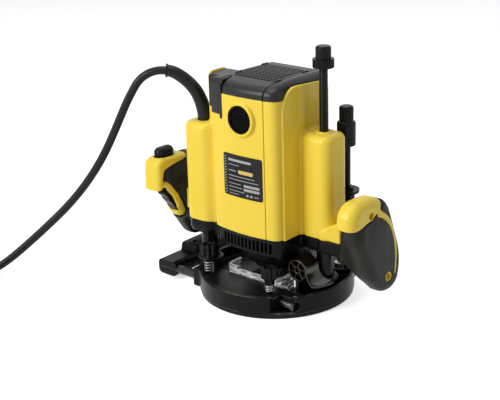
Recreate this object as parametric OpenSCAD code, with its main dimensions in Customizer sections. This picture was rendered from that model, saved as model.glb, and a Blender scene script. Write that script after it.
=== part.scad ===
// Plunge router with two columns, side handles, a depth stop and an edge guide.
// Millimetres. The origin is the middle of the sole, +Z is up and +X points to the right handle.

/* [Base] */
// Radius of the round base
base_r = 85; // [83:1:92]
// Thickness of the sole plate
sole_t = 4; // [3:0.5:5]
// Thickness of the base floor above the sole plate
floor_t = 6; // [4:0.5:8]
// Height of the front and rear decks above the sole plate
deck_h = 17; // [16:0.5:19]
// Height of the rim above the decks
rim_h = 3; // [2:0.5:5]
// Thickness of the rim wall
rim_t = 4; // [3:0.5:6]
// Radius of the cutter opening
bit_hole_r = 32; // [26:1:33]
// Half width of the sunken strip between the decks
pocket_y = 37; // [36:0.5:39]
// Distance of each sole screw from the two centre lines
sole_screw_at = 42; // [40:0.5:43]

/* [Columns] */
// Radius of each column
column_r = 9; // [8:0.25:10]
// Radius of the hollow inside each column
column_hollow_r = 7; // [6.9:0.1:7.4]
// Height of the column tops
column_top = 172; // [168:1:175]
// Place of the left column, across
left_x = -70; // [-72:0.5:-68]
// Place of the left column, front to back
left_y = -30; // [-32:0.5:-28]
// Place of the right column, across
right_x = 64; // [63:0.5:66]
// Place of the right column, front to back
right_y = 3; // [1:0.5:5]
// Radius of the column bosses on the base
boss_r = 14; // [12:0.5:15]
// Height of the column bosses above the base floor
boss_h = 20; // [14:1:24]
// Plunge travel
plunge_travel = 60; // [50:1:65]

/* [Motor] */
// Width of the motor housing
body_w = 86; // [84:1:90]
// Distance of the front face from the spindle
body_front = 52; // [50:0.5:54]
// Distance of the rear face from the spindle
body_back = 48; // [46:0.5:50]
// How far the front face bulges
front_sag = 5; // [3:0.5:7]
// Height of the lower edge of the housing
body_z = 77; // [75:0.5:79]
// Height of the seam under the top cap
seam_z = 226; // [224:0.5:228]
// Height of the top of the cap
top_z = 243; // [241:0.5:247]
// Width of the two column housings
pod_w = 37; // [35:0.5:38]
// Height of the lower edge of the column housings
pod_z = 75; // [73:0.5:77]
// Height of the top of the column housings
pod_top = 187; // [185:0.5:190]
// Radius of the motor cavity
cavity_r = 38; // [37:0.5:39]
// Thickness of the stator ring
stator_t = 15; // [13:0.5:15.5]
// Height of the brush axis
brush_z = 203; // [202:0.5:204]
// Radius of a brush cap
brush_cap_r = 14.5; // [13:0.5:15]

/* [Spindle] */
// Radius of the shank bore of the collet
collet_bore_r = 6; // [4:0.05:6.35]
// Radius of the spindle in the lower bearing
spindle_r = 8.5; // [7.5:0.25:9]
// Outer radius of the lower bearing
lower_bearing_r = 17.5; // [16:0.5:18.5]
// Outer radius of the upper bearing
upper_bearing_r = 13; // [11:0.5:14]
// Radius of the fan
fan_r = 33; // [28:0.5:34]
// Number of fan blades
fan_blades = 16; // [8:1:20]

/* [Handles] */
// Distance of each handle from the spindle
handle_x = 126; // [122:1:130]
// Thickness of each handle
handle_t = 28; // [26:0.5:32]
// Height of the middle of the right handle
right_handle_z = 82; // [80:0.5:84]
// Height of the middle of the left handle
left_handle_z = 86; // [84:0.5:88]
// Trigger travel
trigger_travel = 6; // [3:0.5:6]
// Lock button travel
button_travel = 4; // [2:0.5:4.5]

/* [Depth stop] */
// Radius of the threaded height rod
height_rod_r = 4.2; // [3.5:0.1:4.6]
// Place of the depth rod, across
depth_x = 67; // [65:0.5:68]
// Place of the depth rod, front to back
depth_y = 37.5; // [37:0.5:39]
// Radius of the depth rod
depth_rod_r = 4.5; // [4:0.25:5]
// Height of the lower end of the depth rod
depth_tip_z = 46.5; // [46:0.5:52]
// Radius of the turret
turret_r = 13; // [12:0.5:13]

/* [Edge guide] */
// Radius of a guide rod
guide_rod_r = 5; // [4:0.5:5.5]
// Distance of each guide rod from the centre line
guide_rod_y = 52; // [51:0.5:53]
// Reach of the guide rods to the right
guide_rod_end = 66; // [40:1:66]
// Distance of the guide bar from the spindle
bar_x = 113; // [110:1:140]
// Width of the guide bar
bar_w = 27; // [20:1:34]
// Thickness of the guide bar
bar_t = 17; // [13:0.5:18]
// Length of the guide bar
bar_len = 114; // [112:1:150]

/* [Cord] */
// Diameter of the cord
cord_d = 9; // [8.4:0.1:9]
// Number of turns in each layer of the coil
coil_turns = 3; // [2:1:3]
// Radius of the outermost turn of the coil
coil_r = 67; // [64:1:70]

/* [Hidden] */

yellow = "#f2c517";
black = "#1b1b1c";
rubber = "#262627";
steel = "#9a9a9c";
brass = "#b08d3a";
clear = "#c8d4d8";

// Clearances: a part that turns or slides, a part that is pressed or screwed in, and free air.
run_fit = 0.06;
still_fit = 0.02;
air = 0.3;
eps = 0.01;
fine = 96;
soft = 32;

floor_z = sole_t + floor_t;
deck_z = sole_t + deck_h;
rim_z = deck_z + rim_h;
guide_rod_z = sole_t + deck_h / 2;
left_column_at = [left_x, left_y];
right_column_at = [right_x, right_y];
column_places = [left_column_at, right_column_at];
column_foot_z = sole_t + 1;
column_floor_z = floor_z + boss_h / 2;
boss_top_z = floor_z + boss_h;

// Round stretches of an outline: each point holds its place and its corner radius.
function unit(v) = v / norm(v);
function corner_arc(a, b, c, r, n) =
    let (u = unit(a - b), w = unit(c - b))
    let (half = acos(max(-1, min(1, u * w))) / 2)
    let (reach = r / tan(half))
    let (mid = b + unit(u + w) * r / sin(half))
    let (p = b + u * reach - mid, q = b + w * reach - mid)
    let (start = atan2(p[1], p[0]), stop = atan2(q[1], q[0]))
    let (sweep = (stop - start + 540) % 360 - 180)
    [for (i = [0 : n]) mid + r * [cos(start + sweep * i / n), sin(start + sweep * i / n)]];
function flat(p) = [p[0], p[1]];
function rounded(pts, n = 6) = [for (i = [0 : len(pts) - 1])
    each corner_arc(flat(pts[(i + len(pts) - 1) % len(pts)]), flat(pts[i]),
        flat(pts[(i + 1) % len(pts)]), pts[i][2], n)];

// A tube swept along points, one polyhedron. side is a level vector across a flat route.
function along(pts, i) = unit(pts[min(i + 1, len(pts) - 1)] - pts[max(i - 1, 0)]);
function tube_ring(at, t, side, r, sides) =
    let (u = unit(side - t * (side * t)), w = cross(t, u))
    [for (k = [0 : sides - 1]) at + r * (u * cos(360 * k / sides) + w * sin(360 * k / sides))];
function tube_faces(rings, sides) = concat(
    [for (i = [0 : rings - 2], k = [0 : sides - 1], half = [0, 1])
        let (a = i * sides + k, b = i * sides + (k + 1) % sides)
        half == 0 ? [a, b, b + sides] : [a, b + sides, a + sides]],
    [for (k = [1 : sides - 2]) [0, k + 1, k]],
    [for (k = [1 : sides - 2]) let (e = (rings - 1) * sides) [e, e + k, e + k + 1]]);
module tube(pts, radii, sides, side) {
    rings = [for (i = [0 : len(pts) - 1]) each tube_ring(pts[i], along(pts, i), side, radii[i], sides)];
    polyhedron(rings, tube_faces(len(pts), sides));
}
function same(v, n) = [for (i = [0 : n - 1]) v];

module rounded_rect(w, d, r) {
    square([w - 2 * r, d], center = true);
    square([w, d - 2 * r], center = true);
    for (sx = [-1, 1], sy = [-1, 1]) translate([sx * (w / 2 - r), sy * (d / 2 - r)]) circle(r, $fn = soft);
}
// A post with a rounded top edge, and a block made of four of them.
module soft_post(r, h, e) {
    rotate_extrude($fn = soft) {
        square([r, h - e]);
        square([r - e, h]);
        intersection() {
            translate([r - e, h - e]) circle(e, $fn = soft);
            square([r, h]);
        }
    }
}
module soft_block(w, d, h, r, e) {
    hull() for (sx = [-1, 1], sy = [-1, 1])
        translate([sx * (w / 2 - r), sy * (d / 2 - r), 0]) soft_post(r, h, e);
}
module box(low, high) {
    translate(low) cube(high - low);
}
// A rod along Y or X through a point.
module rod_y(at, r, len, n = soft) {
    translate(at) rotate([-90, 0, 0]) cylinder(r = r, h = len, $fn = n);
}
module rod_x(at, r, len, n = soft) {
    translate(at) rotate([0, 90, 0]) cylinder(r = r, h = len, $fn = n);
}
module at_columns() {
    for (c = column_places) translate([c[0], c[1], 0]) children();
}

// Base: sole plate, casting and what is fixed to it

screw_r = 2.5;
screw_head_r = 5;
screw_len = 14;
sole_head_h = 3;
sole_head_sink = 0.5;
sole_edge = 1;
sole_screw_places = [for (sx = [-1, 1], sy = [-1, 1]) [sx * sole_screw_at, sy * sole_screw_at]];
module sole_screw(grow) {
    translate([0, 0, sole_head_sink])
        cylinder(r1 = screw_head_r + grow, r2 = screw_r + grow, h = sole_head_h, $fn = soft);
    translate([0, 0, sole_head_sink])
        cylinder(r = screw_r + grow, h = screw_len - sole_head_sink, $fn = soft);
}
module sole_plate() {
    color(black) difference() {
        union() {
            cylinder(r = base_r - sole_edge, h = sole_t, $fn = fine);
            at_columns() cylinder(r = boss_r - sole_edge, h = sole_t, $fn = soft);
        }
        translate([0, 0, -1]) cylinder(r = bit_hole_r - 2, h = sole_t + 2, $fn = fine);
        for (p = sole_screw_places) translate([p[0], p[1], 0]) sole_screw(still_fit);
        for (p = sole_screw_places) translate([p[0], p[1], -1])
            cylinder(r = screw_head_r + still_fit, h = 1 + sole_head_sink + eps, $fn = soft);
    }
}
module sole_screws() {
    color(steel) for (p = sole_screw_places) translate([p[0], p[1], 0]) sole_screw(0);
}

pad_half = 8;
pad_out = 3;
pad_in = 8;
pad_x = sqrt(base_r * base_r - guide_rod_y * guide_rod_y);
thumb_left = -pad_x + 14;
thumb_front_right = pad_x - 34;
thumb_rear_right = pad_x - 47;
thumb_places = [[thumb_left, -guide_rod_y], [thumb_front_right, -guide_rod_y],
    [thumb_left, guide_rod_y], [thumb_rear_right, guide_rod_y]];
thumb_shank_r = 3;
thumb_wall = 4;
notch_left = pad_x - 29;
notch_right = pad_x - 8;
turret_orbit = 10;
turret_x = depth_x - turret_orbit;
turret_y = depth_y;
turret_pin_r = 3;
module base_shell() {
    difference() {
        translate([0, 0, sole_t]) cylinder(r = base_r, h = rim_z - sole_t, $fn = fine);
        translate([0, 0, deck_z]) cylinder(r = base_r - rim_t, h = rim_h + 1, $fn = fine);
        intersection() {
            cylinder(r = base_r - rim_t, h = rim_z + 1, $fn = fine);
            box([-base_r, -pocket_y, floor_z], [base_r, pocket_y, rim_z + 1]);
        }
    }
    at_columns() translate([0, 0, sole_t]) cylinder(r = boss_r, h = boss_top_z - sole_t, $fn = soft);
    translate([turret_x, turret_y, sole_t]) cylinder(r = turret_r + 1, h = deck_z - sole_t, $fn = soft);
    for (y = [-guide_rod_y, guide_rod_y])
        box([-pad_x - pad_out, y - pad_half, sole_t], [-pad_x + pad_in, y + pad_half, rim_z]);
    for (p = thumb_places) translate([p[0], p[1], sole_t])
        cylinder(r = thumb_shank_r + thumb_wall, h = deck_z - sole_t, $fn = soft);
}
module base() {
    color(black) difference() {
        base_shell();
        translate([0, 0, sole_t - 1]) cylinder(r = bit_hole_r, h = rim_z, $fn = fine);
        at_columns() translate([0, 0, column_foot_z])
            cylinder(r = column_r + still_fit, h = boss_top_z, $fn = soft);
        for (sy = [-1, 1])
            rod_x([-base_r - 10, sy * guide_rod_y, guide_rod_z], guide_rod_r + run_fit, 2 * base_r + 20);
        for (p = thumb_places) translate([p[0], p[1], guide_rod_z])
            cylinder(r = thumb_shank_r + run_fit, h = deck_h, $fn = soft);
        for (p = sole_screw_places) translate([p[0], p[1], sole_t - 1])
            cylinder(r = screw_r + still_fit, h = screw_len + air - sole_t + 1, $fn = soft);
        box([notch_left, -base_r - 10, guide_rod_z - guide_rod_r - 1],
            [notch_right, -guide_rod_y + guide_rod_r + 2, rim_z + 1]);
        translate([turret_x, turret_y, floor_z])
            cylinder(r = turret_pin_r + still_fit, h = deck_h, $fn = soft);
        translate([turret_x, turret_y, deck_z]) cylinder(r = turret_r + air, h = rim_h + 1, $fn = soft);
        for (p = thumb_places) translate([p[0], p[1], deck_z])
            cylinder(r = thumb_shank_r + thumb_wall, h = rim_h + 1, $fn = soft);
    }
}

module column(at) {
    color(black) translate([at[0], at[1], 0]) difference() {
        translate([0, 0, column_foot_z]) cylinder(r = column_r, h = column_top - column_foot_z, $fn = fine);
        translate([0, 0, column_floor_z]) cylinder(r = column_hollow_r, h = column_top, $fn = soft);
        translate([0, 0, floor_z]) cylinder(r = height_rod_r + still_fit, h = column_top, $fn = soft);
    }
}
module left_column() {
    column(left_column_at);
}
module right_column() {
    column(right_column_at);
}

// The column housings are as high as the columns need
pod_roof = 10;
column_room = 5;
pod_high = max(pod_top, column_top + column_room + pod_roof);
pod_ceiling_z = pod_high - pod_roof;
module plunge_springs() {
    color(steel) at_columns() translate([0, 0, column_floor_z + eps]) difference() {
        cylinder(r = column_hollow_r - air, h = pod_ceiling_z - air - column_floor_z, $fn = soft);
        translate([0, 0, -1]) cylinder(r = height_rod_r + air, h = pod_high, $fn = soft);
    }
}

collar_h = 2;
collar_r = 8;
knob_gap = 6;
knob_z = pod_high + collar_h + plunge_travel + knob_gap;
knob_flange_h = 9;
knob_cap_h = 13;
knob_flange_r = 11;
knob_cap_r = 8;
knob_ridges = 24;
height_rod_top = knob_z + knob_flange_h + knob_cap_h - 2;
module height_rod() {
    color(black) translate([right_x, right_y, floor_z + eps])
        cylinder(r = height_rod_r, h = height_rod_top - floor_z, $fn = soft);
}
module height_knob() {
    color(black) translate([right_x, right_y, knob_z]) difference() {
        union() {
            difference() {
                cylinder(r = knob_flange_r, h = knob_flange_h, $fn = fine);
                for (i = [0 : knob_ridges - 1]) rotate(360 * i / knob_ridges)
                    translate([knob_flange_r + 0.4, 0, -1]) cylinder(r = 1, h = knob_flange_h + 2, $fn = 16);
            }
            translate([0, 0, knob_flange_h - eps]) soft_post(knob_cap_r, knob_cap_h, 2.5);
        }
        translate([0, 0, -1])
            cylinder(r = height_rod_r + run_fit, h = height_rod_top - knob_z + 1 + air, $fn = soft);
    }
}

thumb_rises = [19, 14, 19, 19];
thumb_head_h = 14;
thumb_head_r = 9;
thumb_collar_h = 5;
thumb_collar_r = 5.4;
thumb_grooves = 8;
thumb_groove_r = 2.2;
thumb_rim = 3.5;
function thumb_head_z(i) = deck_z + thumb_rises[i];
thumb_top_z = deck_z + max(thumb_rises) + thumb_head_h;
module thumb_screw(i) {
    p = thumb_places[i];
    head_z = thumb_head_z(i);
    shank_z = guide_rod_z + guide_rod_r + air;
    color(black) translate([p[0], p[1], 0]) {
        translate([0, 0, shank_z]) cylinder(r = thumb_shank_r, h = head_z - shank_z + eps, $fn = soft);
        translate([0, 0, head_z - thumb_collar_h])
            cylinder(r = thumb_collar_r, h = thumb_collar_h + eps, $fn = soft);
        translate([0, 0, head_z]) difference() {
            cylinder(r = thumb_head_r, h = thumb_head_h, $fn = soft);
            for (k = [0 : thumb_grooves - 1]) rotate(360 * k / thumb_grooves)
                translate([thumb_head_r + 0.6, 0, -1])
                    cylinder(r = thumb_groove_r, h = thumb_head_h + 2, $fn = 16);
            translate([0, 0, thumb_head_h - 1.5]) cylinder(r = thumb_head_r - thumb_rim, h = 2, $fn = soft);
        }
    }
}
module thumb_screw_front_left() {
    thumb_screw(0);
}
module thumb_screw_front_right() {
    thumb_screw(1);
}
module thumb_screw_rear_left() {
    thumb_screw(2);
}
module thumb_screw_rear_right() {
    thumb_screw(3);
}

// Springs under the thumb screws, each one helical tube
spring_curls = 4;
spring_wire_r = 0.6;
spring_r = thumb_shank_r + 1.6;
spring_rings = 8;
spring_low = deck_z + spring_wire_r + 0.05;
function spring_high(i) = thumb_head_z(i) - thumb_collar_h - spring_wire_r - air;
function spring_pitch(i) = (spring_high(i) - spring_low) / spring_curls;
function spring_points(i) = [for (k = [0 : spring_curls * spring_rings])
    let (turn = k / spring_rings)
    [spring_r * cos(360 * turn), spring_r * sin(360 * turn), spring_low + spring_pitch(i) * turn]];
echo(spring_least_gap = min([for (i = [0 : 3]) spring_pitch(i)]) - 2 * spring_wire_r);
module thumb_screw_springs() {
    color(steel) for (i = [0 : 3]) translate([thumb_places[i][0], thumb_places[i][1], 0])
        tube(spring_points(i), same(spring_wire_r, len(spring_points(i))), 6, [0, 0, 1]);
}

deflector_x = -6;
deflector_w = 80;
deflector_side = 24;
deflector_t = 2.5;
deflector_h = 24;
deflector_corner = 9;
deflector_window_w = 40;
deflector_sill = 14;
deflector_tab = [4, 10, 3];
module chip_deflector() {
    depth = 2 * deflector_side + deflector_corner;
    low = -depth / 2 + deflector_side;
    color(clear) translate([deflector_x, -pocket_y + 1 + depth / 2, floor_z]) {
        difference() {
            linear_extrude(deflector_h) difference() {
                rounded_rect(deflector_w, depth, deflector_corner);
                rounded_rect(deflector_w - 2 * deflector_t, depth - 2 * deflector_t,
                    deflector_corner - deflector_t);
                translate([-deflector_w, low]) square([2 * deflector_w, depth]);
            }
            box([-deflector_window_w / 2, -depth, deflector_sill],
                [deflector_window_w / 2, 0, deflector_h + 1]);
        }
        translate([-deflector_w / 2 - deflector_tab[0] + eps, low - deflector_tab[1], 0]) cube(deflector_tab);
    }
}

// Dust chute: a hollow hub with spokes, a slope down from it to a crease and a ramp on to the rim
chute_x = 52;
chute_hub_r = 12;
chute_hub_z = 40;
chute_wall = 2;
chute_front = -pocket_y + 4;
chute_back = right_y - 7;
chute_t = 2.5;
chute_eye_r = 4.6;
chute_pin_r = 1.8;
chute_leg_w = 4;
slope_angle = 31;
slope_len = 8;
ramp_r = 20;
ramp_x = chute_hub_r + ramp_r;
ramp_z = rim_z + air + chute_t + ramp_r - chute_hub_z;
crease_z = chute_hub_r * cos(slope_angle) - slope_len * sin(slope_angle);
spokes = 6;
module chute_profile() {
    difference() {
        circle(chute_hub_r, $fn = soft);
        circle(chute_hub_r - chute_wall, $fn = soft);
    }
    difference() {
        circle(chute_eye_r, $fn = soft);
        circle(chute_pin_r, $fn = soft);
    }
    for (i = [0 : spokes - 1]) rotate(360 * i / spokes + 15)
        translate([chute_eye_r - 1, -0.7]) square([chute_hub_r - chute_wall - chute_eye_r + 2, 1.4]);
    translate([-chute_leg_w / 2, floor_z - chute_hub_z])
        square([chute_leg_w, chute_hub_z - floor_z - chute_hub_r + 1.2]);
    rotate(-slope_angle) translate([0, chute_hub_r - chute_wall])
        square([slope_len, chute_wall - 0.1]);
    translate([ramp_x, ramp_z]) difference() {
        circle(ramp_r + chute_t, $fn = fine);
        circle(ramp_r, $fn = fine);
        translate([-2 * ramp_r, crease_z - ramp_z]) square(4 * ramp_r);
        translate([0, -2 * ramp_r]) square(4 * ramp_r);
    }
}
module dust_chute() {
    color(black) difference() {
        intersection() {
            translate([chute_x, chute_back, chute_hub_z]) rotate([90, 0, 0])
                linear_extrude(chute_back - chute_front) chute_profile();
            cylinder(r = base_r - rim_t - air, h = top_z, $fn = fine);
        }
        translate([right_x, right_y, 0]) cylinder(r = boss_r + air, h = top_z, $fn = soft);
    }
}

turret_z = deck_z + air;
turret_t = 6;
turret_steps = [15, 5, 10];
turret_post_r = 3.2;
turret_screw_r = 2;
turret_screw_top = depth_tip_z - 0.6;
module at_turret() {
    translate([turret_x, turret_y, 0]) children();
}
module turret_posts() {
    for (i = [0 : 2]) rotate(120 * i) translate([turret_orbit, 0, 0]) {
        $step = turret_steps[i];
        children();
    }
}
module depth_turret() {
    color(black) at_turret() difference() {
        union() {
            translate([0, 0, turret_z]) cylinder(r = turret_r, h = turret_t, $fn = soft);
            turret_posts() translate([0, 0, turret_z + turret_t - eps])
                cylinder(r = turret_post_r, h = $step, $fn = soft);
        }
        translate([0, 0, turret_z - 1]) cylinder(r = turret_pin_r + run_fit, h = turret_t + 2, $fn = soft);
        turret_posts() translate([0, 0, turret_z + turret_t - 2])
            cylinder(r = turret_screw_r + still_fit, h = 2 + $step + 1, $fn = soft);
    }
}
module turret_screws() {
    color(steel) at_turret() turret_posts() {
        seat = turret_z + turret_t + $step;
        head = min(3, turret_screw_top - seat);
        translate([0, 0, turret_z + turret_t - 2 + eps])
            cylinder(r = turret_screw_r, h = $step + 2 + 1, $fn = soft);
        translate([0, 0, seat]) cylinder(r = turret_post_r, h = head, $fn = 6);
    }
}
module turret_pivot() {
    color(steel) at_turret() {
        translate([0, 0, floor_z + eps])
            cylinder(r = turret_pin_r, h = turret_z + turret_t + air - floor_z, $fn = soft);
        translate([0, 0, turret_z + turret_t + air]) cylinder(r = turret_pin_r + 2, h = 3, $fn = soft);
    }
}

// Edge guide: two rods and the bar that carries the fence

bar_shoulder_len = 40;
bar_shoulder_h = 8;
bar_end = 3;
fence_hole_r = 3;
fence_hole_apart = 20;
module guide_rods() {
    left = -bar_x - bar_w / 2 + bar_end;
    color(black) for (sy = [-1, 1])
        rod_x([left, sy * guide_rod_y, guide_rod_z], guide_rod_r, guide_rod_end - left);
}
module guide_bar() {
    corner = 5;
    color(black) translate([-bar_x, 0, guide_rod_z]) difference() {
        union() {
            rotate([90, 0, 0]) linear_extrude(bar_len, center = true) rounded_rect(bar_w, bar_t, corner);
            rotate([0, 90, 0]) linear_extrude(bar_w - 4, center = true)
                polygon(rounded([[0, -bar_shoulder_len / 2 - bar_shoulder_h / 2, 0.1],
                    [-bar_t / 2 - bar_shoulder_h, -bar_shoulder_len / 2, 4],
                    [-bar_t / 2 - bar_shoulder_h, bar_shoulder_len / 2, 4],
                    [0, bar_shoulder_len / 2 + bar_shoulder_h / 2, 0.1]]));
        }
        for (sy = [-1, 1])
            rod_x([-bar_w / 2 + bar_end - eps, sy * guide_rod_y, 0], guide_rod_r + still_fit, bar_w);
        for (sy = [-1, 1]) translate([0, sy * fence_hole_apart / 2, -bar_t])
            cylinder(r = fence_hole_r, h = 2 * bar_t + bar_shoulder_h, $fn = soft);
    }
}

// Motor housing, cap and bracket

front_curve = (body_w * body_w / 4 + front_sag * front_sag) / (2 * front_sag);
corner_r = 13;
sharp_corner_r = 3;
module body_outline(inset) {
    side = body_w / 2 - inset;
    front = -body_front - 3 + inset;
    back = body_back - inset;
    round_r = corner_r - inset;
    sharp_r = max(0.5, sharp_corner_r - inset);
    intersection() {
        polygon(rounded([[-side, front, sharp_r], [side, front, round_r], [side, back, round_r],
            [-side, back, round_r]], 8));
        translate([0, front_curve - body_front]) circle(front_curve - inset, $fn = 4 * fine);
    }
}
web_z = seam_z - 12;
bush_wall = 3;
bush_len = 37;
bush_r = column_r + bush_wall;
bush_top = pod_z + bush_len;
guard_root_r = 8;
guard_sink = 6;
guard_root_z = pod_high - guard_sink;
arm_low = pod_z;
arm_high = body_z + 24;
arm_end = handle_x - handle_t / 2 - 6;
root_front = -28;
root_back = -2;
lever_hub_r = 9;
box_left = -left_x - lever_hub_r - 3;
box_front = body_front - 16;
box_back = body_back - 14;
box_seam_z = seam_z - 21;
panel_t = 2;
panel_front = -39;
panel_back = body_back - 9.5;
cover_right = -body_w / 2 + 9;
cover_seam_z = box_seam_z - 2;
panel_z = top_z - 5;
brush_ring_r = brush_cap_r + 3.5;
brush_ring_h = 2.5;
brush_cap_depth = 2;
holder_r = 8;
bracket_screw_places = [for (sx = [-1, 1], y = [16 - body_front, body_back - 14])
    [sx * (body_w / 2 - 12), y]];
bracket_floor_z = thumb_top_z + 1.5;
bracket_screw_len = 44;
bracket_head_r = 4.2;
bracket_head_h = 2.5;

// The wedge between a column housing and a handle, from the side of the housing to the handle's root
module arm_plan(side) {
    c = side < 0 ? left_column_at : right_column_at;
    inner = c[0] + side * pod_w / 4;
    polygon([[inner, c[1] - pod_w / 2 + 4], [side * arm_end, root_front], [side * arm_end, root_back],
        [inner, c[1] + pod_w / 2 - 4]]);
}
// The front and rear brushes face each other: $reach is the face of the housing on that side
module at_brushes() {
    for (side = [0, 1]) mirror([0, side, 0]) {
        $reach = side == 0 ? body_front : body_back;
        children();
    }
}
module pod(at) {
    translate([at[0], at[1], pod_z]) soft_block(pod_w, pod_w, pod_high - pod_z, 12, 6);
}
module housing_solid() {
    difference() {
        translate([0, 0, body_z]) linear_extrude(seam_z - body_z) body_outline(0);
        box([-body_w, -body_w, cover_seam_z], [cover_right, body_w, seam_z + 1]);
    }
    for (c = column_places) pod(c);
    // webs that tie the column housings to the body
    box([body_w / 2 - 5, right_y - 13, body_z], [right_x, right_y + 14, pod_high - 4]);
    box([left_x, left_y - 12, body_z], [-body_w / 2 + 5, left_y + 14, pod_high - 4]);
    // switch chamber on the left side, and its outer wall beside the cover
    translate([0, 0, body_z]) linear_extrude(box_seam_z - body_z)
        polygon(rounded([[-body_w / 2 + 5, -box_front, 0.1], [-body_w / 2 + 5, box_back, 0.1],
            [-box_left, box_back, 6], [-box_left, -box_front, 6]]));
    translate([-box_left - panel_t, 0, 0]) rotate([90, 0, 90]) linear_extrude(panel_t)
        polygon(rounded([[-box_front + 4, box_seam_z - 58, 4], [box_back - 4, box_seam_z - 58, 4],
            [box_back - 4, box_seam_z - 8, 12], [-6, top_z - 2, 10], [-box_front + 4, top_z - 2, 6]]));
    box([-box_left - panel_t / 2, -box_front + 10, box_seam_z - 54],
        [-box_left + 1, box_back - 10, box_seam_z]);
    // raised panel on the right side, round at its top corners
    translate([body_w / 2 - panel_t, 0, 0]) rotate([90, 0, 90]) linear_extrude(2 * panel_t)
        polygon(rounded([[panel_front, body_z, 0.5], [panel_back, body_z, 0.5],
            [panel_back, panel_z, 12], [panel_front, panel_z, 13]]));
    // arms to the handles
    for (side = [-1, 1]) translate([0, 0, arm_low]) linear_extrude(arm_high - arm_low) arm_plan(side);
    // rings round the brush caps
    at_brushes() rod_y([0, -$reach - brush_ring_h, brush_z], brush_ring_r, 12, fine);
    // collar round the height rod
    translate([right_x, right_y, pod_high - 1]) cylinder(r = collar_r, h = collar_h + 1, $fn = soft);
}
lever_y = left_y + pod_w / 2;
lever_z = 118;
lever_pin_r = 4;
lever_pin_len = 9;
module motor_housing() {
    color(yellow) difference() {
        union() {
            housing_solid();
            rod_y([left_x, lever_y - 2, lever_z], lever_pin_r, lever_pin_len + 2);
        }
        translate([0, 0, body_z - 1]) cylinder(r = cavity_r, h = web_z - body_z + 1, $fn = fine);
        translate([0, 0, web_z - 1]) cylinder(r = 8, h = seam_z, $fn = soft);
        translate([0, 0, web_z + 2]) cylinder(r = upper_bearing_r + still_fit, h = seam_z, $fn = fine);
        at_columns() {
            translate([0, 0, pod_z - 1])
                cylinder(r = bush_r + still_fit, h = bush_top - pod_z + 1, $fn = soft);
            translate([0, 0, pod_z]) cylinder(r = column_r + 0.6, h = pod_ceiling_z - pod_z, $fn = soft);
        }
        translate([right_x, right_y, pod_z]) cylinder(r = height_rod_r + 0.6, h = pod_high, $fn = soft);
        translate([left_x, left_y, guard_root_z])
            cylinder(r = guard_root_r + still_fit, h = pod_high, $fn = soft);
        at_brushes() {
            rod_y([0, -$reach - 1, brush_z], holder_r + still_fit, $reach);
            rod_y([0, -$reach - 20, brush_z], brush_cap_r + still_fit, 20 + brush_cap_depth, fine);
        }
        for (p = bracket_screw_places) translate([p[0], p[1], body_z - 1])
            cylinder(r = screw_r + still_fit, h = bracket_screw_len, $fn = soft);
    }
}

grille_w = 53;
grille_slots = 12;
grille_pitch = grille_w / grille_slots;
slot_w = 2.4;
cap_wall = 4;
cap_fall = 1.2;
band_half = 28;
module cap_layer(z, inset) {
    translate([0, -body_front, z]) rotate([-cap_fall * (z - seam_z) / (top_z - seam_z), 0, 0])
        translate([0, body_front, 0]) linear_extrude(eps) body_outline(inset);
}
module top_cap() {
    rise = top_z - seam_z;
    color(black) difference() {
        hull() {
            cap_layer(seam_z, 0);
            cap_layer(seam_z + rise * 0.5, 0.2);
            cap_layer(seam_z + rise * 0.8, 2.5);
            cap_layer(seam_z + rise * 0.94, 5.5);
            cap_layer(top_z - eps, 9.5);
        }
        translate([0, 0, seam_z - 1]) linear_extrude(rise - 1 - cap_wall) rounded_rect(body_w - 18, 78, 8);
        for (i = [0 : grille_slots - 1], half = [-1, 1])
            translate([half * grille_w / 4, (i - (grille_slots - 1) / 2) * grille_pitch, top_z - cap_wall])
                cube([grille_w / 2 - 2, slot_w, 3 * cap_wall], center = true);
        // seat of the raised side panel
        box([body_w / 2 - panel_t - still_fit, panel_front - still_fit, seam_z - 1],
            [body_w, panel_back + still_fit, panel_z + still_fit]);
        // seams of the centre band
        box([band_half - 0.5, -body_front - 1, seam_z - 1], [band_half + 0.5, -body_front + 3, top_z]);
        // room for the switch box cover
        box([-body_w, -body_w, seam_z - 1], [cover_right + still_fit, body_w, top_z + 1]);
    }
}
// Cover of the switch box: it wraps the front left corner of the body
cover_edge = 5;
cover_lip = 3;
module switch_box_cover() {
    corner = -body_front + front_sag;
    high = top_z - 4 - cover_seam_z;
    color(black) difference() {
        union() {
            hull() for (y = [-box_front + cover_edge, box_back - cover_edge],
                    x = [-box_left + cover_edge, cover_right])
                translate([x, y, box_seam_z]) soft_post(cover_edge, top_z - 4 - box_seam_z, 2.4);
            hull() for (y = [corner + cover_lip, -box_front + cover_edge],
                    x = [-body_w / 2 + cover_lip, cover_right])
                translate([x, y, cover_seam_z + eps]) soft_post(cover_lip, high, 2.4);
        }
        box([cover_right, -body_front - 1, 0], [body_w, body_back, top_z + 1]);
        box([-box_left - 1, -box_front - still_fit, 0], [cover_right, box_back, box_seam_z]);
    }
}

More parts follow.
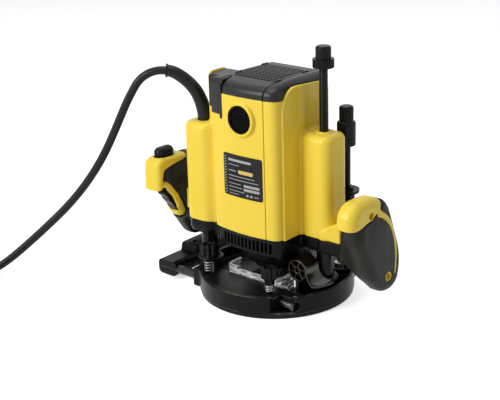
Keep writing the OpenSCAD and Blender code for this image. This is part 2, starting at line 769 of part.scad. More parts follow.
module brush_cap() {
    proud = brush_cap_depth + brush_ring_h + 0.8;
    face = -$reach + brush_cap_depth - proud;
    difference() {
        rod_y([0, face, brush_z], brush_cap_r, proud, fine);
        rod_y([0, face - 1, brush_z], brush_cap_r - 3, 2, fine);
    }
    box([-brush_cap_r + 3.2, face + 0.2, brush_z - 1], [brush_cap_r - 3.2, face + proud - 1, brush_z + 1]);
}
module brush_caps() {
    color(black) at_brushes() brush_cap();
}
commutator_r = 15;
brush_w = 7;
brush_tall = 11;
module brush_holders() {
    color(brass) at_brushes() difference() {
        rod_y([0, -$reach + brush_cap_depth + still_fit, brush_z], holder_r,
            $reach - brush_cap_depth - commutator_r - 4);
        box([-brush_w / 2 - still_fit, -$reach, brush_z - brush_tall / 2 - still_fit],
            [brush_w / 2 + still_fit, 0, brush_z + brush_tall / 2 + still_fit]);
    }
}
module carbon_brushes() {
    color(rubber) at_brushes() box([-brush_w / 2, -$reach + 14, brush_z - brush_tall / 2],
        [brush_w / 2, -commutator_r - air, brush_z + brush_tall / 2]);
}

neck_z = 30;
neck_r = 24;
bearing_z = 36;
bearing_t = 11;
drum_r = 37;
drum_h = 9;
bracket_floor_t = 3;
bracket_inset = 2;
bracket_pod_z = 60;
vent_slots = 11;
vent_pitch = 5.2;
vent_w = 2.6;
vent_low = bracket_floor_z + bracket_floor_t;
vent_high = body_z - 4;
fan_chamber_r = fan_r + 2.5;
module bracket_solid() {
    translate([0, 0, bracket_floor_z])
        linear_extrude(body_z - bracket_floor_z) body_outline(bracket_inset);
    for (c = column_places) translate([c[0], c[1], pod_z]) mirror([0, 0, 1])
        soft_block(pod_w - 2, pod_w - 2, pod_z - bracket_pod_z, 12, 8);
    box([body_w / 2 - 8, right_y - 12, bracket_pod_z], [right_x, right_y + 12, pod_z]);
    box([left_x, left_y - 10, bracket_pod_z], [-body_w / 2 + 8, left_y + 14, pod_z]);
    for (side = [-1, 1]) translate([0, 0, bracket_pod_z + 2])
        linear_extrude(pod_z - bracket_pod_z - 2) arm_plan(side);
}
module motor_bracket() {
    color(black) difference() {
        bracket_solid();
        translate([0, 0, vent_low]) cylinder(r = fan_chamber_r, h = body_z, $fn = fine);
        cylinder(r = spindle_r + 3, h = body_z, $fn = fine);
        at_columns() translate([0, 0, bracket_pod_z - 1])
            cylinder(r = column_r + 0.5, h = body_z, $fn = soft);
        for (i = [0 : vent_slots - 1]) {
            x = (i - (vent_slots - 1) / 2) * vent_pitch;
            box([x - vent_w / 2, -body_front - 1, vent_low], [x + vent_w / 2, 22 - body_front, vent_high]);
            box([x - vent_w / 2, body_back - 22, vent_low], [x + vent_w / 2, body_back + 1, vent_high]);
        }
        for (p = bracket_screw_places) translate([p[0], p[1], bracket_floor_z - 1]) {
            cylinder(r = screw_r + still_fit, h = body_z, $fn = soft);
            cylinder(r = bracket_head_r + still_fit, h = 1 + bracket_head_h, $fn = soft);
        }
    }
}
// Neck under the bracket: it holds the lower bearing and widens to a drum
module bearing_neck() {
    high = bracket_floor_z - neck_z;
    color(black) difference() {
        translate([0, 0, neck_z]) rotate_extrude($fn = fine)
            polygon([[0, 0], [neck_r - 1.5, 0], [neck_r, 1.5], [neck_r, high - drum_h - 6],
                [drum_r - 4, high - drum_h], [drum_r, high - drum_h + 1], [drum_r, high], [0, high]]);
        translate([0, 0, bearing_z])
            cylinder(r = lower_bearing_r + still_fit, h = bearing_t + still_fit, $fn = fine);
        translate([0, 0, neck_z - 1]) cylinder(r = spindle_r + 3, h = body_z, $fn = fine);
    }
}
module bracket_screws() {
    color(steel) for (p = bracket_screw_places) translate([p[0], p[1], bracket_floor_z]) {
        cylinder(r = bracket_head_r, h = bracket_head_h - still_fit, $fn = soft);
        cylinder(r = screw_r, h = bracket_screw_len + body_z - bracket_floor_z - 2, $fn = soft);
    }
}
module column_bushes() {
    color(brass) at_columns() translate([0, 0, pod_z + eps]) difference() {
        cylinder(r = bush_r, h = bush_top - pod_z - 2 * eps, $fn = fine);
        translate([0, 0, -1]) cylinder(r = column_r + run_fit, h = pod_high, $fn = fine);
    }
}

// Motor and spindle

stator_z = 86;
stator_h = 62;
bore_in_stator = cavity_r - stator_t;
module stator() {
    color(steel) translate([0, 0, stator_z]) difference() {
        cylinder(r = cavity_r - still_fit, h = stator_h, $fn = fine);
        translate([0, 0, -1]) cylinder(r = bore_in_stator, h = stator_h + 2, $fn = fine);
    }
}
module bearing(r, bore, z, t) {
    color(steel) translate([0, 0, z]) difference() {
        cylinder(r = r, h = t, $fn = fine);
        translate([0, 0, -1]) cylinder(r = bore, h = t + 2, $fn = fine);
        for (e = [-1, t - 0.6]) translate([0, 0, e]) difference() {
            cylinder(r = r - (r - bore) * 0.3, h = 1.6, $fn = fine);
            translate([0, 0, -1]) cylinder(r = bore + (r - bore) * 0.3, h = 4, $fn = fine);
        }
    }
}
tail_r = 5;
module lower_bearing() {
    bearing(lower_bearing_r, spindle_r + run_fit, bearing_z, bearing_t);
}
module upper_bearing() {
    bearing(upper_bearing_r, tail_r + run_fit, web_z + 2, seam_z - web_z - 3);
}
nose_r = 10;
nose_z = 14;
core_r = 7;
collet_r = nose_r - 2;
module spindle() {
    color(steel) difference() {
        union() {
            translate([0, 0, nose_z]) cylinder(r = nose_r, h = bearing_z - 1 - nose_z, $fn = fine);
            translate([0, 0, nose_z + 5])
                cylinder(r = spindle_r, h = bearing_z + bearing_t - nose_z - 4, $fn = fine);
            translate([0, 0, nose_z + 5]) cylinder(r = core_r, h = web_z - 1 - nose_z - 5, $fn = fine);
            translate([0, 0, nose_z + 5]) cylinder(r = tail_r, h = seam_z - 1 - nose_z - 5, $fn = fine);
        }
        translate([0, 0, nose_z - 1]) cylinder(r = collet_r + still_fit, h = 19, $fn = fine);
    }
}
armature_slots = 12;
module armature() {
    r = bore_in_stator - 0.8;
    color(steel) translate([0, 0, stator_z + 2]) difference() {
        cylinder(r = r, h = stator_h - 4, $fn = fine);
        translate([0, 0, -1]) cylinder(r = core_r + still_fit, h = stator_h, $fn = soft);
        for (i = [0 : armature_slots - 1]) rotate(360 * i / armature_slots)
            box([r - 5, -1.2, -1], [r + 1, 1.2, stator_h]);
    }
}
module commutator() {
    color(brass) translate([0, 0, brush_z - 10]) difference() {
        cylinder(r = commutator_r, h = 20, $fn = fine);
        translate([0, 0, -1]) cylinder(r = core_r + still_fit, h = 22, $fn = soft);
        for (i = [0 : 23]) rotate(15 * i) box([commutator_r - 1, -0.3, -1], [commutator_r + 1, 0.3, 16]);
    }
}
fan_z = vent_low + 1;
fan_h = 12;
module fan() {
    hub_r = 11;
    color(black) translate([0, 0, fan_z]) difference() {
        union() {
            cylinder(r = fan_r, h = 2, $fn = fine);
            cylinder(r = hub_r, h = fan_h, $fn = soft);
            for (i = [0 : fan_blades - 1]) rotate(360 * i / fan_blades)
                translate([hub_r + 4, -0.8, 1]) rotate(18) cube([fan_r - hub_r - 7, 1.6, fan_h - 1]);
        }
        translate([0, 0, -1]) cylinder(r = core_r + still_fit, h = fan_h + 2, $fn = soft);
    }
}
module collet() {
    color(steel) difference() {
        translate([0, 0, 10]) cylinder(r = collet_r, h = nose_z + 17 - 10, $fn = fine);
        translate([0, 0, 9]) cylinder(r = collet_bore_r, h = 40, $fn = fine);
        for (i = [0 : 2]) rotate(120 * i) box([0, -0.4, 9], [collet_r + 1, 0.4, 24]);
    }
}
nut_z = 9;
nut_h = 18;
nut_flat_r = 15;
module collet_nut() {
    color(steel) difference() {
        translate([0, 0, nut_z]) intersection() {
            cylinder(r = nut_flat_r, h = nut_h, $fn = 6);
            cylinder(r1 = nut_flat_r - 2, r2 = nut_flat_r + 16, h = nut_h, $fn = fine);
        }
        translate([0, 0, nose_z - 1]) cylinder(r = nose_r + still_fit, h = nut_h, $fn = fine);
        translate([0, 0, nut_z - 1]) cylinder(r = collet_r + still_fit, h = nut_h, $fn = fine);
    }
}

// Handles, drawn in a plane across the machine: the first number is front to back, the second is height

handle_y = -8;
right_grip_edge = [[-3, -38, 40], [20, -61, 22], [44.5, -58, 18], [51.5, -22, 60], [22, 52, 30],
    [-26, 54, 8], [-33, 11, 12]];
left_grip_edge = [[-3, -51, 18], [32, -52, 18], [44, -12, 38], [16, 51, 26], [-43, 51, 8], [-46, 13, 4]];
right_nose_edge = [[-38, 8, 10], [22, 14, 10], [22, 53, 30], [-42, 52, 17], [-44, 22, 9]];
left_nose_edge = [[-52, 11, 7], [20, 14, 8], [14, 51, 24], [-46, 53, 10], [-56.5, 42, 16]];
// What lies above and in front of these lines is bare shell, the rest is covered by rubber
right_cap_edge = [[-60, 20, 0.5], [-26, 23, 6], [-12, 29, 6], [5, 31.5, 3], [16, 36, 3], [18, 80, 1],
    [-60, 80, 1]];
left_cap_edge = [[-60, 0, 0.5], [-43.5, 0, 0.5], [-43, 31, 6], [-37, 41, 6], [-24, 44.5, 8],
    [0, 45.5, 4], [8, 80, 1], [-60, 80, 1]];
tang_inset = 7;
root_low = -20;
root_high = 22;
root_skin = 5;
right_screws_at = [[-4, 36], [29, -43]];
left_screws_at = [[-13, 38], [16, -37]];
handle_screw_r = 2;
handle_head_r = 3.4;
handle_head_h = 3;
hole_depth = 9;
screw_seat = 6;
function bow(a, b, c, t) = (1 - t) * (1 - t) * a + 2 * t * (1 - t) * b + t * t * c;
stripe_steps = 12;
function stripe_at(t) = bow([5, 35], [30, 28], [40.5, -40], t);
function stripe_half(t) = 4.5 - 3.7 * t;
function stripe_side(s) = [for (i = [0 : stripe_steps])
    let (t = i / stripe_steps)
    let (d = unit(stripe_at(min(1, t + 0.01)) - stripe_at(max(0, t - 0.01))))
    stripe_at(t) + s * stripe_half(t) * [-d[1], d[0]]];
function turned(list) = [for (i = [len(list) - 1 : -1 : 0]) list[i]];

// Place a handle's plane at the left or right side, facing outwards
module at_handle(side) {
    z = side < 0 ? left_handle_z : right_handle_z;
    mirror([side < 0 ? 1 : 0, 0, 0]) translate([handle_x, handle_y, z]) rotate([90, 0, 90]) children();
}
// The soft edge of a slab: how far below its face each layer ends, and how far it draws in there
soft_edge = [[8, 0], [3.5, 1.2], [1, 4], [0, 7]];
module slab(edge_list, t) {
    hull() for (e = soft_edge)
        linear_extrude(t - 2 * e[0], center = true) offset(delta = -e[1]) polygon(rounded(edge_list));
}
module plate(edge_list, t) {
    linear_extrude(t, center = true) polygon(rounded(edge_list));
}
module stripe(t) {
    linear_extrude(t, center = true) polygon(concat(stripe_side(1), turned(stripe_side(-1))));
}
module inset_plate(edge_list, inset, t) {
    linear_extrude(t, center = true) offset(delta = -inset) polygon(rounded(edge_list));
}
// The root joins the handle to its arm: a core with a rubber skin
module handle_root(inset) {
    low = [root_front - handle_y + inset, root_low + inset];
    high = [root_back - handle_y - inset, root_high - inset];
    translate([low[0], low[1], arm_end - handle_x])
        cube([high[0] - low[0], high[1] - low[1], handle_x - arm_end - handle_t / 2 + 8]);
}
tang_t = handle_t - 8;
module handle_wells(screws_at) {
    for (p = screws_at) translate([p[0], p[1], 0]) {
        translate([0, 0, handle_t / 2 - hole_depth])
            cylinder(r = handle_head_r + still_fit, h = hole_depth + 1, $fn = soft);
        translate([0, 0, screw_seat - handle_t / 2])
            cylinder(r = handle_screw_r + still_fit, h = handle_t, $fn = soft);
    }
}
module handle_core(grip_edge, nose_edge, cap_edge, screws_at) {
    difference() {
        union() {
            intersection() {
                slab(nose_edge, handle_t);
                plate(cap_edge, handle_t + 2);
            }
            inset_plate(grip_edge, tang_inset, tang_t);
            handle_root(root_skin);
        }
        handle_wells(screws_at);
    }
}
module handle_grip(grip_edge, cap_edge, screws_at) {
    difference() {
        union() {
            slab(grip_edge, handle_t);
            handle_root(0);
        }
        plate(cap_edge, handle_t + 2);
        inset_plate(grip_edge, tang_inset - still_fit, tang_t + 2 * still_fit);
        handle_root(root_skin - still_fit);
        translate([0, 0, arm_end - handle_x - 1]) handle_root(root_skin - still_fit);
        for (p = screws_at) translate([p[0], p[1], 0])
            cylinder(r = handle_head_r + still_fit, h = handle_t, $fn = soft);
    }
}
module right_handle() {
    color(yellow) at_handle(1) {
        handle_core(right_grip_edge, right_nose_edge, right_cap_edge, right_screws_at);
        intersection() {
            slab(right_grip_edge, handle_t);
            stripe(handle_t + 2);
        }
    }
}
module right_grip() {
    color(rubber) at_handle(1) difference() {
        handle_grip(right_grip_edge, right_cap_edge, right_screws_at);
        stripe(handle_t + 2);
    }
}

// Trigger in the front of the left handle, in a shell frame that is open at the front and at both sides
trigger_t = 20;
trigger_edge = [[-45, 13, 3], [-34, 20, 4], [-15, -6, 5], [-17, -14, 3], [-26, -15, 3]];
frame_edge = [[-60, 20, 1], [-46, 21, 6], [-36, 25, 6], [-17, 2, 16], [-9, -14, 8], [-13, -24, 6],
    [-60, -24, 1]];
window_edge = [[-60, 16, 1], [-41, 19, 5], [-28, 5, 16], [-21, -8, 5], [-24, -16, 4], [-60, -16, 1]];
button_at = [-33, 51];
button_len = 29;
button_w = 15;
button_sink = 8;
button_rise = 13.5;
pocket_high = 3 * button_rise;
stem_inset = 2.5;
pebble_low = 1;
module trigger_pocket() {
    hull() for (dy = [-12, trigger_travel + air]) translate([dy, 0, 0])
        linear_extrude(trigger_t + 2 * air, center = true) offset(delta = air) polygon(rounded(trigger_edge));
    plate(window_edge, handle_t + 2);
}
module button_plan(grow) {
    reach = button_len / 2 - button_w / 2;
    hull() for (s = [-1, 1]) translate([s * reach, 0]) circle(button_w / 2 + grow, $fn = soft);
}
// Stand a plan upright on the top of the handle
module on_top(z) {
    translate([button_at[0], button_at[1] + z, 0]) rotate([-90, 0, 0]) children();
}
module button_pocket() {
    on_top(-button_sink - button_travel - air) linear_extrude(pocket_high) button_plan(air - stem_inset);
    on_top(pebble_low - button_travel - air) linear_extrude(pocket_high) button_plan(air);
}
module left_handle() {
    color(yellow) at_handle(-1) difference() {
        union() {
            handle_core(left_grip_edge, left_nose_edge, left_cap_edge, left_screws_at);
            intersection() {
                slab(left_grip_edge, handle_t);
                plate(frame_edge, handle_t + 2);
            }
        }
        trigger_pocket();
        button_pocket();
    }
}
module left_grip() {
    color(rubber) at_handle(-1) difference() {
        handle_grip(left_grip_edge, left_cap_edge, left_screws_at);
        plate(frame_edge, handle_t + 2);
        trigger_pocket();
        button_pocket();
    }
}
trigger_ribs = 3;
trigger_rib_r = 2;
rib_start = [-41.5, 7.5];
rib_step = [5.6, -8.2];
module trigger() {
    color(black) at_handle(-1) difference() {
        plate(trigger_edge, trigger_t);
        for (i = [0 : trigger_ribs - 1]) translate(rib_start + i * rib_step)
            cylinder(r = trigger_rib_r, h = trigger_t + 2, center = true, $fn = 24);
    }
}
module lock_button() {
    color(black) at_handle(-1) on_top(-button_sink) {
        linear_extrude(button_sink + pebble_low + 2) button_plan(-stem_inset);
        translate([0, 0, button_sink]) hull() {
            translate([0, 0, pebble_low]) linear_extrude(eps) button_plan(-stem_inset);
            translate([0, 0, 4]) linear_extrude(4) button_plan(0);
            translate([0, 0, button_rise - 3]) linear_extrude(0.8) button_plan(-1.8);
            translate([0, 0, button_rise - 1]) linear_extrude(1) button_plan(-5);
        }
    }
}
module handle_screw(at) {
    translate([at[0], at[1], 0]) {
        translate([0, 0, handle_t / 2 - hole_depth + eps])
            cylinder(r = handle_head_r, h = handle_head_h, $fn = soft);
        translate([0, 0, screw_seat - handle_t / 2 + eps])
            cylinder(r = handle_screw_r, h = handle_t - hole_depth - screw_seat, $fn = soft);
    }
}
module handle_screws() {
    color(steel) {
        at_handle(1) for (p = right_screws_at) handle_screw(p);
        at_handle(-1) for (p = left_screws_at) handle_screw(p);
    }
}

// Plunge lock lever on a pin behind the left column housing
lever_t = 6;
lever_len = 40;
lever_lean = 35;
module plunge_lever() {
    color(black) translate([left_x, lever_y + air + lever_t, lever_z]) rotate([90, 0, 0]) difference() {
        linear_extrude(lever_t) {
            circle(lever_hub_r, $fn = soft);
            rotate(lever_lean)
                polygon(rounded([[-6, 0, 0.1], [6, 0, 0.1], [5, lever_len, 4.5], [-5, lever_len, 4.5]]));
        }
        translate([0, 0, -1]) cylinder(r = lever_pin_r + run_fit, h = lever_t + 2, $fn = soft);
    }
}

// Depth stop on the back of the right column housing

holder_low = 62;
holder_high = 112;
holder_wall = 9;
module at_depth() {
    translate([depth_x, depth_y, 0]) children();
}
module depth_holder() {
    seat = right_y + pod_w / 2;
    color(black) difference() {
        union() {
            at_depth() translate([0, 0, holder_low])
                cylinder(r = holder_wall, h = holder_high - holder_low, $fn = soft);
            box([depth_x - 7, seat, arm_low], [depth_x + 7, depth_y, holder_high - 4]);
        }
        at_depth() cylinder(r = depth_rod_r + run_fit, h = top_z, $fn = soft);
    }
}
barrel_z = 166;
barrel_h = 26;
barrel_r = 10;
module depth_rod() {
    color(black) at_depth() translate([0, 0, depth_tip_z])
        cylinder(r = depth_rod_r, h = barrel_z + barrel_h - 4 - depth_tip_z, $fn = soft);
}
module depth_barrel() {
    color(black) at_depth() translate([0, 0, barrel_z]) difference() {
        union() {
            cylinder(r = barrel_r, h = barrel_h * 0.3, $fn = soft);
            cylinder(r = barrel_r - 0.8, h = barrel_h * 0.4, $fn = soft);
            translate([0, 0, barrel_h * 0.36]) soft_post(barrel_r, barrel_h * 0.64, 3);
        }
        translate([0, 0, -1]) cylinder(r = depth_rod_r + still_fit, h = barrel_h - 4 + 1 + eps, $fn = soft);
    }
}
depth_knob_r = 7.6;
depth_knob_h = 16;
depth_flutes = 12;
module depth_knob() {
    color(black) at_depth() translate([0, 0, barrel_z + barrel_h + 0.1]) difference() {
        soft_post(depth_knob_r, depth_knob_h, 2.5);
        for (i = [0 : depth_flutes - 1]) rotate(360 * i / depth_flutes)
            translate([depth_knob_r + 0.5, 0, 2]) cylinder(r = 1.3, h = depth_knob_h, $fn = 16);
    }
}
lock_wheel_r = 14;
module depth_lock_wheel() {
    color(black) at_depth() translate([0, 0, holder_high + 0.1]) difference() {
        union() {
            translate([0, 0, 2]) cylinder(r = lock_wheel_r, h = 3, $fn = fine);
            cylinder(r = depth_rod_r + 3, h = 8, $fn = soft);
        }
        translate([0, 0, -1]) cylinder(r = depth_rod_r + run_fit, h = 12, $fn = soft);
    }
}

// Cord: the guard and the free stretch lie in one upright plane that leaves the left column housing
// towards the front left. A route point is a reach along that plane and a height.

cord_dir = unit([-196, -143, 0]);
cord_side = cross([0, 0, 1], cord_dir);
cord_start = [left_x, left_y, 0];
function on_route(p) = cord_start + p[0] * cord_dir + [0, 0, p[1]];
guard_points = [[0, -guard_sink], [0, 0], [1, 9.5], [3.8, 20.5], [9, 31.8], [17.6, 42], [27, 49.2],
    [34.3, 52.6], [40, 53.4]];
guard_route = [for (p = guard_points) [p[0], p[1] + pod_high]];
guard_radii = [guard_root_r, guard_root_r, 7.8, 7.5, 7.2, 6.9, 6.6, 6.4];
// The lip at the guard's free end: distance back from the end, and radius
guard_lip = [[3.2, 6.2], [2.6, 7.6], [0.6, 7.6], [0, 6.2]];
lie_z = cord_d / 2 + 0.8;
cord_route = [guard_route[len(guard_route) - 1], [44.5, 240.64], [50, 240.1], [55.75, 238.5],
    [61.2, 235.9], [66.1, 232.45], [70.3, 228.2], [73.8, 223.35], [79.7, 213.4], [86, 201.5],
    [95.5, 181.5], [105.5, 161], [116.5, 141], [129.5, 121.5], [144, 103], [161, 84.5], [180, 66.5],
    [200, 48.5], [221, 30.5], [234, 20.5], [244, 13.8], [254, 9], [264, 6.6]];
// The coil lies on the surface that the machine stands on: a lead-in, two layers of turns and a tail
joint_gap = 0.05;
coil_lead = [[276, lie_z + 0.2], [290, lie_z], [306, lie_z]];
coil_extra = 0.375;
coil_rings = 24;
coil_pitch = cord_d + 0.6;
cord_end = on_route(cord_route[len(cord_route) - 1]);
cord_end_dir = unit(cord_end - on_route(cord_route[len(cord_route) - 2]));
coil_start = on_route(coil_lead[len(coil_lead) - 1]);
coil_mid = coil_start + coil_r * cord_side;
coil_inner = coil_r - coil_turns * coil_pitch;
function ease(t) = t * t * (3 - 2 * t);
function coil_climb(turn) = ease(max(0, min(1, 2 * (turn - coil_turns + 0.25)))) * coil_pitch;
function coil_point(turn) =
    let (r = coil_inner + abs(turn - coil_turns) * coil_pitch, a = 360 * turn)
    coil_mid + r * (cord_dir * sin(a) - cord_side * cos(a)) + [0, 0, coil_climb(turn)];
coil_last = 2 * coil_turns + coil_extra;
tail_dir = cord_dir * cos(360 * coil_extra) + cord_side * sin(360 * coil_extra);
tail_len = cord_d * 2;
tail_end = coil_point(coil_last) + tail_dir * tail_len;
coil_points = concat(
    [for (d = [joint_gap, 1.5]) cord_end + cord_end_dir * d],
    [for (p = coil_lead) on_route(p)],
    [for (i = [1 : coil_last * coil_rings]) coil_point(i / coil_rings)],
    [for (d = [cord_d, tail_len]) coil_point(coil_last) + tail_dir * d]);
coil_gaps = [for (i = [0 : 2 : len(coil_points) - 1], k = [i + 14 : len(coil_points) - 1])
    norm(coil_points[i] - coil_points[k])];
echo(coil_least_gap = min(coil_gaps) - cord_d);
function run(pts) = [for (i = [1 : len(pts) - 1]) norm(pts[i] - pts[i - 1])];
function total(list, i = 0) = i < len(list) ? list[i] + total(list, i + 1) : 0;
echo(cord_length = total(run([for (p = cord_route) on_route(p)])) + total(run(coil_points)));
module cord_guard() {
    points = [for (p = guard_route) on_route(p)];
    last = len(points) - 1;
    tip = points[last];
    lean = along(points, last);
    lip = [for (d = guard_lip) tip - d[0] * lean];
    color(black) tube(concat([for (i = [0 : last - 1]) points[i]], lip),
        concat([for (i = [0 : last - 1]) guard_radii[i]], [for (d = guard_lip) d[1]]), 12, cord_side);
}
module cord() {
    points = [for (p = cord_route) on_route(p)];
    color(black) tube(points, same(cord_d / 2, len(points)), 10, cord_side);
}
module cord_coil() {
    color(black) tube(coil_points, same(cord_d / 2, len(coil_points)), 6, [0, 0, 1]);
}
tie_w = 14;
tie_t = 0.6;
module cord_tie() {
    inner = coil_inner + coil_pitch / 2 - cord_d / 2 - 0.8;
    outer = coil_r - coil_pitch / 2 + cord_d / 2 + 0.8;
    high = lie_z + coil_pitch + cord_d / 2 + 0.6;
    color(rubber) translate([coil_mid[0], coil_mid[1], 0])
        rotate([90, 0, atan2(cord_side[1], cord_side[0])]) linear_extrude(tie_w, center = true) difference() {
            translate([inner - 1.6, 0]) square([outer - inner + 3.2, high + 1.6]);
            translate([inner, tie_t]) square([outer - inner, high - tie_t]);
        }
}
plug_tail = 38;
plug_len = 40;
plug_w = 36;
plug_tall = 27;
pin_r = 2.4;
pin_len = 19;
pin_apart = 19;
module plug() {
    color(black) translate(tail_end) rotate([0, 90, atan2(tail_dir[1], tail_dir[0])]) {
        cylinder(r1 = cord_d / 2 + 1, r2 = 8, h = plug_tail, $fn = soft);
        translate([0, 0, plug_tail - eps]) hull() {
            linear_extrude(1) rounded_rect(17, 20, 7);
            translate([0, 0, 14]) linear_extrude(1) rounded_rect(plug_tall - 6, plug_w - 8, 9);
            translate([0, 0, plug_len - 1]) linear_extrude(1) rounded_rect(plug_tall, plug_w, 11);
        }
        for (s = [-1, 1]) translate([0, s * pin_apart / 2, plug_tail + plug_len - 1])
            cylinder(r = pin_r, h = pin_len + 1, $fn = soft);
    }
}

sole_plate();
sole_screws();
base();
left_column();
right_column();
plunge_springs();
height_rod();
height_knob();
thumb_screw_front_left();
thumb_screw_front_right();
thumb_screw_rear_left();
thumb_screw_rear_right();
thumb_screw_springs();
chip_deflector();
dust_chute();
depth_turret();
turret_screws();
turret_pivot();
guide_rods();
guide_bar();
motor_housing();
top_cap();
switch_box_cover();
brush_caps();
brush_holders();
carbon_brushes();
motor_bracket();
bearing_neck();
bracket_screws();
column_bushes();
stator();
lower_bearing();
upper_bearing();
spindle();
armature();
commutator();
fan();
collet();
collet_nut();
left_handle();
left_grip();
right_handle();
right_grip();
handle_screws();
trigger();
lock_button();
plunge_lever();
depth_holder();
depth_rod();
depth_barrel();
depth_knob();
depth_lock_wheel();
cord_guard();
cord();
cord_coil();
cord_tie();
plug();
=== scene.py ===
import math
from functools import reduce

import bmesh
import bpy
import numpy as np
from mathutils import Matrix, Vector


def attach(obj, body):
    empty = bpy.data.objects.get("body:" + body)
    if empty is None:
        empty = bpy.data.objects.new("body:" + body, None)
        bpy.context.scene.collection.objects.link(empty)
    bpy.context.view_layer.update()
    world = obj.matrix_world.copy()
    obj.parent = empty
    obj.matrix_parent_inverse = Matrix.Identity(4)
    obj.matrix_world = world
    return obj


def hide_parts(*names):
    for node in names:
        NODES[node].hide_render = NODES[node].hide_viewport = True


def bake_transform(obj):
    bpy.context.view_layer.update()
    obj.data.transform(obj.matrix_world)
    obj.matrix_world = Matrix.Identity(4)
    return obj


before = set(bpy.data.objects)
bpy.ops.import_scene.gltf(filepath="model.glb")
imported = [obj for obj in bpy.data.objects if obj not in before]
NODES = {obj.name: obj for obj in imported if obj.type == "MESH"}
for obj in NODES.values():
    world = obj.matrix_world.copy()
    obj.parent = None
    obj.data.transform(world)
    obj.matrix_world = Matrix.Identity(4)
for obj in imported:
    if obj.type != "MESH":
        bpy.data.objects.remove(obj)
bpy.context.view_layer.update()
scene = bpy.context.scene
MM = 0.001


# Camera: the photograph's view
CAMERA_AT = (755.5, -902.6, 529.2)
cam_data = bpy.data.cameras.new("camera")
cam_data.sensor_width = 36.0
cam_data.lens = 83.797
cam_data.clip_start = 0.05
cam_data.clip_end = 30.0
cam = bpy.data.objects.new("camera", cam_data)
scene.collection.objects.link(cam)
RIGHT = Vector((0.7587, 0.6516, -0.0287)).normalized()
BACK = Vector((0.6197, -0.7066, 0.3414))
BACK = (BACK - RIGHT * BACK.dot(RIGHT)).normalized()
UP = BACK.cross(RIGHT)
turn = Matrix((RIGHT, UP, BACK)).transposed()
cam.matrix_world = Matrix.Translation([c * MM for c in CAMERA_AT]) @ turn.to_4x4()
scene.camera = cam
scene.view_settings.view_transform = "Standard"


# Materials
class Nodes:
    """A small wrapper that adds and joins shader nodes."""

    def __init__(self, name):
        self.mat = bpy.data.materials.new(name)
        self.mat.use_nodes = True
        self.tree = self.mat.node_tree
        self.tree.nodes.clear()
        self.out = self.add("ShaderNodeOutputMaterial")
        self.coords = self.add("ShaderNodeTexCoord").outputs["Object"]

    def add(self, kind, **values):
        node = self.tree.nodes.new(kind)
        for key, value in values.items():
            if hasattr(node, key):
                setattr(node, key, value)
            else:
                node.inputs[key.replace("_", " ")].default_value = value
        return node

    def link(self, a, b):
        self.tree.links.new(a, b)

    def noise(self, scale, detail=2.0, rough=0.5, at=None):
        node = self.add("ShaderNodeTexNoise", Scale=scale, Detail=detail, Roughness=rough)
        self.link(at or self.coords, node.inputs["Vector"])
        return node.outputs["Fac"]

    def voronoi(self, scale):
        node = self.add("ShaderNodeTexVoronoi", Scale=scale)
        self.link(self.coords, node.inputs["Vector"])
        return node.outputs["Distance"]

    def ramp(self, fac, low, high, a=0.0, b=1.0):
        node = self.add("ShaderNodeMapRange", From_Min=a, From_Max=b, To_Min=low, To_Max=high)
        self.link(fac, node.inputs["Value"])
        return node.outputs["Result"]

    def mix(self, fac, a, b):
        node = self.add("ShaderNodeMix", data_type="RGBA")
        for socket, value in ((node.inputs[6], a), (node.inputs[7], b)):
            if hasattr(value, "links"):
                self.link(value, socket)
            else:
                socket.default_value = (*value, 1)
        self.link(fac, node.inputs[0])
        return node.outputs[2]

    def bump(self, height, distance, strength=0.5, normal=None):
        node = self.add("ShaderNodeBump", Distance=distance, Strength=strength)
        self.link(height, node.inputs["Height"])
        if normal is not None:
            self.link(normal, node.inputs["Normal"])
        return node.outputs["Normal"]


def srgb(r, g, b):
    def lin(v):
        v = v / 255
        return v / 12.92 if v <= 0.04045 else ((v + 0.055) / 1.055) ** 2.4
    return (lin(r), lin(g), lin(b))


def moulded(name, dark, light, rough, grain, depth, metallic=0.0, coat=0.0, dust=None, pebble=0.0,
            shine=0.5, wear_and_highlight=None):
    """Moulded or cast surface: slow colour drift and fine grain; specks, edges lightened by wear and a
    painted highlight, or pebbles if asked.
    """
    n = Nodes(name)
    bsdf = n.add("ShaderNodeBsdfPrincipled", Metallic=metallic, Coat_Weight=coat, Coat_Roughness=0.12,
                 Specular_IOR_Level=shine)
    slow = n.noise(14.0, 3.0)
    colour = n.mix(n.ramp(slow, 0.0, 1.0, 0.3, 0.7), dark, light)
    fine = n.noise(grain, 2.0, 0.6)
    if dust:
        specks = n.ramp(n.noise(grain * 0.22, 4.0, 0.7), 0.0, 0.5, 0.62, 0.78)
        colour = n.mix(specks, colour, dust)
    # Convex edges lighter: part rubbed paint, part a painted highlight along the edges
    if wear_and_highlight:
        edge = n.ramp(n.add("ShaderNodeNewGeometry").outputs["Pointiness"], 0.0, 1.0, 0.535, 0.58)
        rubbed_and_highlit = n.add("ShaderNodeMath", operation="MULTIPLY")
        n.link(edge, rubbed_and_highlit.inputs[0])
        n.link(n.ramp(n.noise(45.0, 4.0, 0.6), 0.0, 1.0, 0.42, 0.62), rubbed_and_highlit.inputs[1])
        colour = n.mix(rubbed_and_highlit.outputs[0], colour, wear_and_highlight)
    n.link(colour, bsdf.inputs["Base Color"])
    n.link(n.ramp(fine, rough - 0.06, rough + 0.06, 0.3, 0.7), bsdf.inputs["Roughness"])
    normal = n.bump(fine, depth)
    if pebble:
        normal = n.bump(n.voronoi(560.0), pebble, 0.6, normal)
    n.link(normal, bsdf.inputs["Normal"])
    n.link(bsdf.outputs["BSDF"], n.out.inputs["Surface"])
    return n.mat


